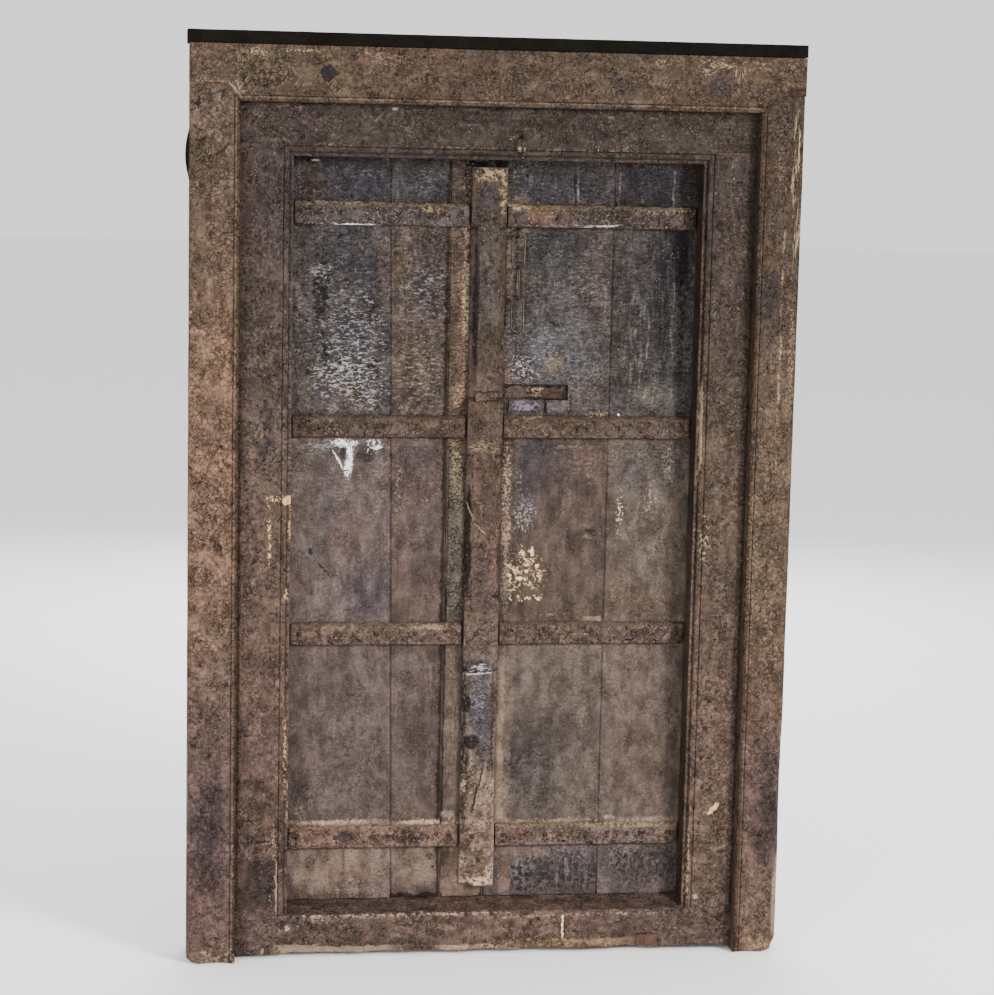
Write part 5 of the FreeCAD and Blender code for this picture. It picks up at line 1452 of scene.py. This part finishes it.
battenPaint["left_batten_2"]["marks"] = [
    patch(340, 627, 50, 3.5, "beige", 0.85, 0.7), patch(430, 627, 30, 3, "cream", 0.8, 0.7),
    patch(450, 632, 14, 5, (170, 128, 104), 0.7, 0.6), patch(340, 637, 44, 8, "mauve", 0.6, 0.6),
    patch(350, 640, 40, 6, "rust", 0.3, 0.5), patch(420, 640, 26, 6, "plum", 0.4, 0.5),
]
battenPaint["right_batten_2"]["marks"] = [
    fine(640, 627, 44, 3, "beige", 0.8, 0.62), fine(540, 627, 36, 3, "beige", 0.6, 0.58),
    patch(512, 637, 14, 10, (146, 116, 98), 0.6, 0.62), dab(584, 640, 4, 5, "soot", 0.6, soft=0.6),
    fine(585, 634, 5, 1.5, "cream", 0.7, 0.6), patch(645, 636, 22, 7, "plum", 0.55, 0.6),
    fine(640, 640, 40, 4, "rose", 0.3, 0.5),
]
battenPaint["left_batten_1"]["marks"] = [
    patch(350, 824, 56, 4, "cream", 0.85, 0.7), patch(430, 822, 34, 4, (208, 196, 170), 0.9, 0.75),
    patch(318, 838, 18, 9, (146, 98, 76), 0.75, 0.66), dab(345, 838, 10, 7, (58, 54, 62), 0.85, soft=0.6),
    patch(410, 838, 16, 7, (64, 58, 66), 0.85, 0.75), patch(445, 838, 18, 8, (150, 112, 88), 0.7, 0.66),
    patch(375, 838, 20, 8, "umber", 0.5, 0.6),
]
battenPaint["right_batten_1"]["marks"] = [
    patch(550, 824, 50, 4, "beige", 0.9, 0.72), patch(630, 824, 50, 4, "cream", 0.85, 0.7),
    patch(520, 836, 18, 8, (140, 96, 78), 0.7, 0.6), patch(600, 838, 20, 7, "plum", 0.7, 0.66),
    patch(645, 836, 16, 8, (62, 58, 66), 0.8, 0.7), patch(560, 838, 24, 8, "umber", 0.6, 0.6),
    dab(665, 838, 12, 10, "tan", 0.6, soft=0.9),
]
battenWear = dict(cell=0.024, arris=0.0022, broad=0.0016, fine=0.0018, along="Y")
battenDust = {  # the dust on the upper edge, by the batten's number
    "1": (188, 168, 146),
    "2": (156, 138, 118),
    "3": (128, 110, 90),
    "4": (172, 158, 132),
    "from": 0.012,
    "to": 0.004,
}
battenLook = dict(
    axis="x",
    plane=0.019,
    fleck=0.8,
    fleckCover=0.4,
    fleckTone=(184, 168, 148),
    crack=0.5,
    cell=0.008,
    second="plum",
    secondShare=0.4,
    pit=0.9,
    depth=0.003,
    mottle=1.0,
    grit=0.7,
    lump=0.0085,
    glint=0.8,
    worn=0.2,
)
gouge = {"from": 428, "to": 467, "every": 6, "x": 446, "y": 411, "slope": 0.05}  # in pixels of the picture


def gougeSpot(px):
    return tuple(spotOn(px, gouge["y"] + (px - gouge["x"]) * gouge["slope"], battenLook["plane"]))


for node, look in battenPaint.items():
    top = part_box(node)[1].z
    piece = wornCopy(node, **battenWear)
    fray(piece, 2, True, 0.014, 0.006, 0.012, seed=len(node) * 1.3)
    if node == "left_batten_3":  # a long gouge over the upper edge
        places = range(gouge["from"], gouge["to"], gouge["every"])
        reshape(piece, [(gougeSpot(px), (0.014, 0.02, 0.009), (0, 0.007, 0)) for px in places])
    dust = (top - battenDust["from"], top - battenDust["to"])
    coat = paint(node + "_paint", dust=dust, dustTone=battenDust[node[-1]], **battenLook, **look)
    finishPiece(piece, node, coat)
    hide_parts(node)
print("the battens are done")

# the cover strip
strip = wornCopy("cover_strip", cell=0.024, broad=0.0014, fine=0.0014, along="Y")
fray(strip, 2, False, 0.03, 0.006, 0.02, seed=8.1)
reshape(strip, [((-0.045, 0.011, 0.135), (0.03, 0.02, 0.045), (0.012, 0.004, 0.014))])
stripPaint = paint(
    "cover_strip_paint",
    plane=0.011,
    tones=[
        (0.05, (180, 160, 141)), (0.16, (172, 151, 134)), (0.2, (164, 147, 135)), (0.31, (146, 130, 123)),
        (0.38, (138, 116, 102)), (0.5, (138, 113, 101)), (0.6, (126, 103, 87)), (0.7, (103, 89, 80)),
        (0.8, (101, 87, 78)), (0.86, (115, 95, 80)),
    ],
    second="plum",
    secondShare=0.4,
    cell=0.007,
    marks=[
        torn(490, 175, 17, 9, (196, 180, 146), 0.9, 0.62), patch(483, 170, 8, 3, (92, 78, 62), 0.7, 0.6),
        lump(504, 190, 4, 20, (190, 172, 130), 0.85, 0.72), dab(487, 198, 13, 12, (84, 72, 80), 0.9),
        wrinkle(490, 215, 17, 3, "ash", 0.7, 0.62), wrinkle(490, 240, 15, 16, (88, 84, 80), 0.6, 0.6),
        wrinkle(486, 290, 10, 56, (104, 102, 104), 0.7, 0.62, gloss=0.35),
        dab(476, 310, 3, 70, (30, 27, 30), 0.9), dab(502, 310, 4, 80, "brown", 0.9),
        dab(486, 350, 8, 20, "umber", 0.7, soft=0.9), dab(486, 392, 15, 1.2, "soot", 0.8),
        dab(486, 401, 15, 0.9, "black", 0.9, soft=0.4), fine(484, 425, 14, 16, "brown", 0.5, 0.5),
        wrinkle(482, 448, 16, 7, "cream", 0.6, 0.56), dab(468, 540, 3.5, 58, (26, 23, 24), 0.95, soft=0.4),
        dab(486, 500, 12, 50, "brown", 0.6, soft=0.9), patch(490, 540, 10, 40, (118, 78, 66), 0.5, 0.6),
        dab(500, 560, 3, 40, "umber", 0.8, soft=0.6), dab(484, 580, 10, 34, "mauve", 0.5, soft=0.9),
        fine(478, 612, 15, 1.5, "tan", 0.8, 0.64), patch(480, 640, 13, 22, "umber", 0.5, 0.5),
        dab(478, 668, 15, 8, (60, 58, 60), 0.9, soft=0.6, gloss=0.3),
        # the pale grey wrinkles and thin line here are painted reflections on the gloss paint
        wrinkle(479, 669, 14, 6, (206, 204, 204), 0.9, 0.5),
        dab(479, 673.5, 14, 0.7, (204, 202, 204), 0.95, box=True, soft=0.2),
        dab(480, 712, 12, 44, (96, 90, 96), 0.9, soft=0.6, gloss=0.28),
        wrinkle(478, 700, 10, 28, (158, 152, 158), 0.7, 0.5),
        dab(486, 730, 5, 22, (112, 106, 114), 0.7, soft=0.8, gloss=0.3),
        patch(464, 710, 2.5, 60, (28, 24, 26), 0.95, 0.75),
        dab(493, 720, 2, 50, (70, 60, 58), 0.8, soft=0.6),
        dab(467, 704, 4.5, 9, (36, 30, 34), 1.0, soft=0.4, gloss=0.25),
        dab(471, 742, 8.5, 8, (34, 30, 34), 1.0, soft=0.4, gloss=0.25),
        streak(465, 755, 3, 12, "soot", 0.9, 0.7), wrinkle(480, 700, 8, 30, "silver", 0.45, 0.5),
        dab(485, 750, 5, 18, (96, 90, 98), 0.8, soft=0.8, gloss=0.3),
        streak(466, 775, 2.2, 26, "soot", 0.9, 0.75), wrinkle(480, 822, 15, 5, (196, 180, 160), 0.8, 0.55),
        wrinkle(482, 832, 10, 3, "soot", 0.7, 0.6), lump(464, 784, 3, 8, (204, 190, 170), 0.9, 0.7),
        lump(468, 792, 4, 2.4, (204, 190, 170), 0.8, 0.7), dab(490, 765, 4, 8, (60, 50, 44), 0.8, soft=0.6),
        lump(494, 745, 3, 14, (168, 152, 120), 0.8, 0.6),
        wrinkle(491, 785, 6, 22, (206, 190, 168), 0.9, 0.52), patch(476, 795, 13, 30, "beige", 0.7, 0.7),
        lump(487, 800, 7, 34, (190, 172, 146), 0.85, 0.5), lump(470, 770, 6, 12, (176, 160, 140), 0.7, 0.6),
        dab(477, 790, 1.0, 31, "soot", 0.95, turn=-13, soft=0.3),
        fine(479, 790, 0.8, 29, (196, 180, 160), 0.8, 0.6, turn=-13),
        patch(488, 790, 6, 26, (84, 72, 66), 0.7, 0.5), dab(463, 800, 2, 40, "soot", 0.7, soft=0.6),
        lump(470, 834, 8, 2, (204, 186, 168), 0.8, 0.6), patch(474, 850, 12, 16, "mauve", 0.6, 0.6),
        lump(474, 882, 19, 4.4, (218, 200, 180), 0.95, 0.85), lump(466, 846, 6, 9, (62, 52, 48), 0.9, 0.8),
        lump(484, 838, 7, 5, (70, 58, 50), 0.85, 0.75), lump(483, 862, 8, 6, (84, 66, 56), 0.85, 0.7),
        lump(470, 826, 10, 6, (84, 72, 64), 0.8, 0.6), lump(488, 872, 5, 8, (214, 196, 176), 0.85, 0.7),
        lump(459.5, 868, 2.2, 16, (206, 190, 172), 0.9, 0.7),
        lump(486, 868, 6, 12, (190, 168, 150), 0.7, 0.6), lump(462, 868, 5, 14, (190, 172, 148), 0.8, 0.7),
        dab(480, 880, 5, 5, (118, 84, 74), 0.85), patch(472, 862, 9, 9, (64, 58, 64), 0.8, 0.7),
        lump(482, 850, 11, 10, (160, 144, 124), 0.7, 0.55), patch(478, 874, 8, 10, "rust", 0.5, 0.6),
        dab(470, 868, 6, 8, "plum", 0.7, soft=0.7),
        dab(470, 511.5, 0.8, 12, (196, 178, 156), 0.85, turn=21),
        dab(482.4, 531, 0.8, 12, (186, 164, 146), 0.8, turn=42),
    ],
)
finishPiece(strip, "cover_strip", stripPaint)
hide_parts("cover_strip")
print("the cover strip is done")

# the repair over the former lock
slip = wornCopy("lock_patch", cell=0.012, arris=0.001, broad=0.0008, fine=0.0012)
fray(slip, 2, True, 0.016, 0.009, 0.014, seed=2.2)
fray(slip, 2, False, 0.012, 0.005, 0.011, seed=5.2)
fray(slip, 0, True, 0.02, 0.012, 0.012, seed=7.7)
slipPaint = paint(
    "lock_patch_paint",
    axis="x",
    plane=0.033,
    tones=[(0, (86, 70, 60)), (0.6, (82, 64, 54)), (1, (80, 64, 56))],
    second=(64, 48, 42),
    fleck=0.3,
    crack=0.3,
    streak=0.2,
    marks=[
        lump(537, 391, 6, 3, (172, 152, 124), 0.8, 0.7), grain(526, 396, 10, 3, (128, 110, 88), 0.8, 0.6),
        grain(556, 394, 14, 4, (88, 68, 56), 0.8, 0.7), grain(549, 388, 22, 2, (48, 36, 32), 0.7, 0.6),
        dab(540, 399, 28, 1.6, (44, 34, 30), 0.8), dab(552, 379, 10, 6, (96, 78, 76), 0.8, soft=0.6),
        dab(512, 392, 11, 12, (104, 90, 82), 0.95, box=True, soft=0.6),
        lump(536, 389, 9, 3.2, (196, 176, 148), 0.9, 0.72),
        dab(536, 396, 6, 1.4, (150, 126, 100), 0.8, soft=0.6),
        wrinkle(541, 392, 26, 1.2, (40, 30, 28), 0.8, 0.6),
    ],
)
finishPiece(slip, "lock_patch", slipPaint)
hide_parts("lock_patch")
filler = wornCopy("lock_filler", cell=0.012, arris=0.001, broad=0.0008, fine=0.001)
fillerPaint = paint(
    "lock_filler_paint",
    axis="x",
    plane=0.029,
    tones=[(0, (124, 114, 114)), (1, (124, 114, 114))],
    second=(92, 82, 80),
    secondShare=0.8,
    fleck=0.6,
    fleckTone=(180, 172, 172),
    crack=0.3,
    marks=[
        lump(526, 406, 13, 4.5, (170, 162, 180), 0.8, 0.75),
        dab(558, 406, 10, 6, (138, 126, 122), 0.7, soft=0.6), fine(515, 412, 12, 2, "cream", 0.9, 0.66),
        dab(546, 407, 1, 8, "soot", 0.8, soft=0.4), dab(505, 405, 4, 8, "beige", 0.8),
    ],
)
finishPiece(filler, "lock_filler", fillerPaint)
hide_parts("lock_filler")

# the forged iron
ironPaint = paint(
    "forged_iron",
    tones=[(0, (38, 29, 25)), (1, (38, 29, 25))],
    second=(28, 24, 22),
    fleck=0.3,
    fleckTone=(150, 126, 98),
    crack=0.2,
    pit=0.2,
    cell=0.004,
    depth=0.0008,
    drip=0.0,
    curl=0.0,
    rough=(0.35, 0.6),
    streak=0.05,
    specular=0.3,
    lump=0.005,
    glint=0.0,
    # the light edge tone here is a painted highlight along the front of the wire
    worn=0.85,
    wornTone=(178, 154, 126),
    wornFrom=0.93,
    grime=0.0,
)
links = ("chain_link_upper", "chain_link_middle", "chain_link_lower")
chain = {"wire": 0.0025, "rings": 40, "sides": 12, "cut": 0.016, "every": 0.004}
staples = {"rings": 32, "sides": 12, "cuts": 6, "over": 0.001, "trim": 0.0001}
iron = {"wear": 0.0005, "grain": 0.008, "angle": 60, "pastLink": 0.0004, "pastStaple": 0.0002}


def ring(node, across, wire, counts, middle, turned):
    bpy.ops.object.select_all(action="DESELECT")
    bpy.ops.mesh.primitive_torus_add(
        major_radius=across,
        minor_radius=wire,
        major_segments=counts["rings"],
        minor_segments=counts["sides"],
        location=middle,
        rotation=turned,
    )
    piece = bpy.context.object
    piece.name = "forged_" + node
    bpy.ops.object.transform_apply(location=True, rotation=True, scale=True)
    bpy.ops.object.mode_set(mode="EDIT")
    return piece


def pull(piece, axis, start, sign, past, shift):
    # moves the part of the ring that lies beyond start
    bpy.ops.mesh.select_all(action="DESELECT")
    shape = bmesh.from_edit_mesh(piece.data)
    for vertex in shape.verts:
        vertex.select_set((vertex.co[axis] - start) * sign > past)
    shape.select_flush(True)
    move = [0, 0, 0]
    move[axis] = shift * sign
    bpy.ops.transform.translate(value=move)


def forged(piece, node):
    # uneven from the hammer, with a painted highlight along its front
    bpy.ops.object.mode_set(mode="OBJECT")
    displace(piece, "forged", cloud("forged_" + node, iron["grain"]), iron["wear"])
    applyAll(piece)
    # the share facing front is stored as arris, where the paint lays a painted highlight
    front = np.clip(-pointsOf(piece, "normal")[:, 1], 0, 1).astype(np.float32)
    piece.data.attributes.new("arris", "FLOAT", "POINT").data.foreach_set("value", front)
    finishPiece(piece, node, ironPaint, iron["angle"])
    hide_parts(node)


for node in links:
    low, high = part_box(node)
    middle = (low + high) / 2
    isEdgeOn = high.x - low.x < high.y - low.y
    across = (high.y - low.y if isEdgeOn else high.x - low.x) / 2 - chain["wire"]
    straight = (high.z - low.z) / 2 - across - chain["wire"]
    link = ring(node, across, chain["wire"], chain, middle, (math.pi / 2, 0, math.pi / 2 if isEdgeOn else 0))
    for sign in (1, -1):
        pull(link, 2, middle.z, sign, iron["pastLink"], straight)
    heights = np.arange(-chain["cut"], chain["cut"] + 0.001, chain["every"])
    cutThrough([middle + Vector((0, 0, height)) for height in heights], (0, 0, 1))
    forged(link, node)
for node in ("head_staple", "leaf_staple"):
    low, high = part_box(node)
    wire = (high.x - low.x) / 2
    across = (high.z - low.z) / 2 - wire
    bow = low.y + wire + across
    middle = ((low.x + high.x) / 2, bow, (low.z + high.z) / 2)
    staple = ring(node, across, wire, staples, middle, (0, math.pi / 2, 0))
    pull(staple, 1, bow, 1, iron["pastStaple"], high.y - bow + staples["over"])
    steps = range(1, staples["cuts"])
    cutThrough([(0, bow + (high.y - bow) * step / staples["cuts"], 0) for step in steps], (0, 1, 0))
    bpy.ops.mesh.select_all(action="SELECT")
    end = (0, high.y - staples["trim"], 0)
    bpy.ops.mesh.bisect(plane_co=end, plane_no=(0, 1, 0), clear_outer=True, use_fill=True)
    forged(staple, node)

# the nails and pegs keep their CAD shapes
nailPaint = paint(
    "painted_nails",
    plane=0.017,
    tones=[(0, "umber"), (1, "mauve")],
    second="rust",
    fleck=0.3,
    crack=0.4,
    cell=0.004,
    depth=0.0008,
)
pegPaint = paint(
    "peg_wood",
    tones=[(0, "old"), (1, "tan")],
    second="umber",
    fleck=0.1,
    crack=0.3,
    streak=0.1,
    depth=0.0006,
)
for node, material in (
    ("left_batten_nails", nailPaint),
    ("right_batten_nails", nailPaint),
    ("cover_strip_nails", nailPaint),
    ("frame_pegs", pegPaint),
):
    nodes[node].data.materials.clear()
    nodes[node].data.materials.append(material)
print("the iron is done")

total = sum(len(piece.data.polygons) for piece in bpy.data.objects if piece.type == "MESH")
print("faces in all:", total)
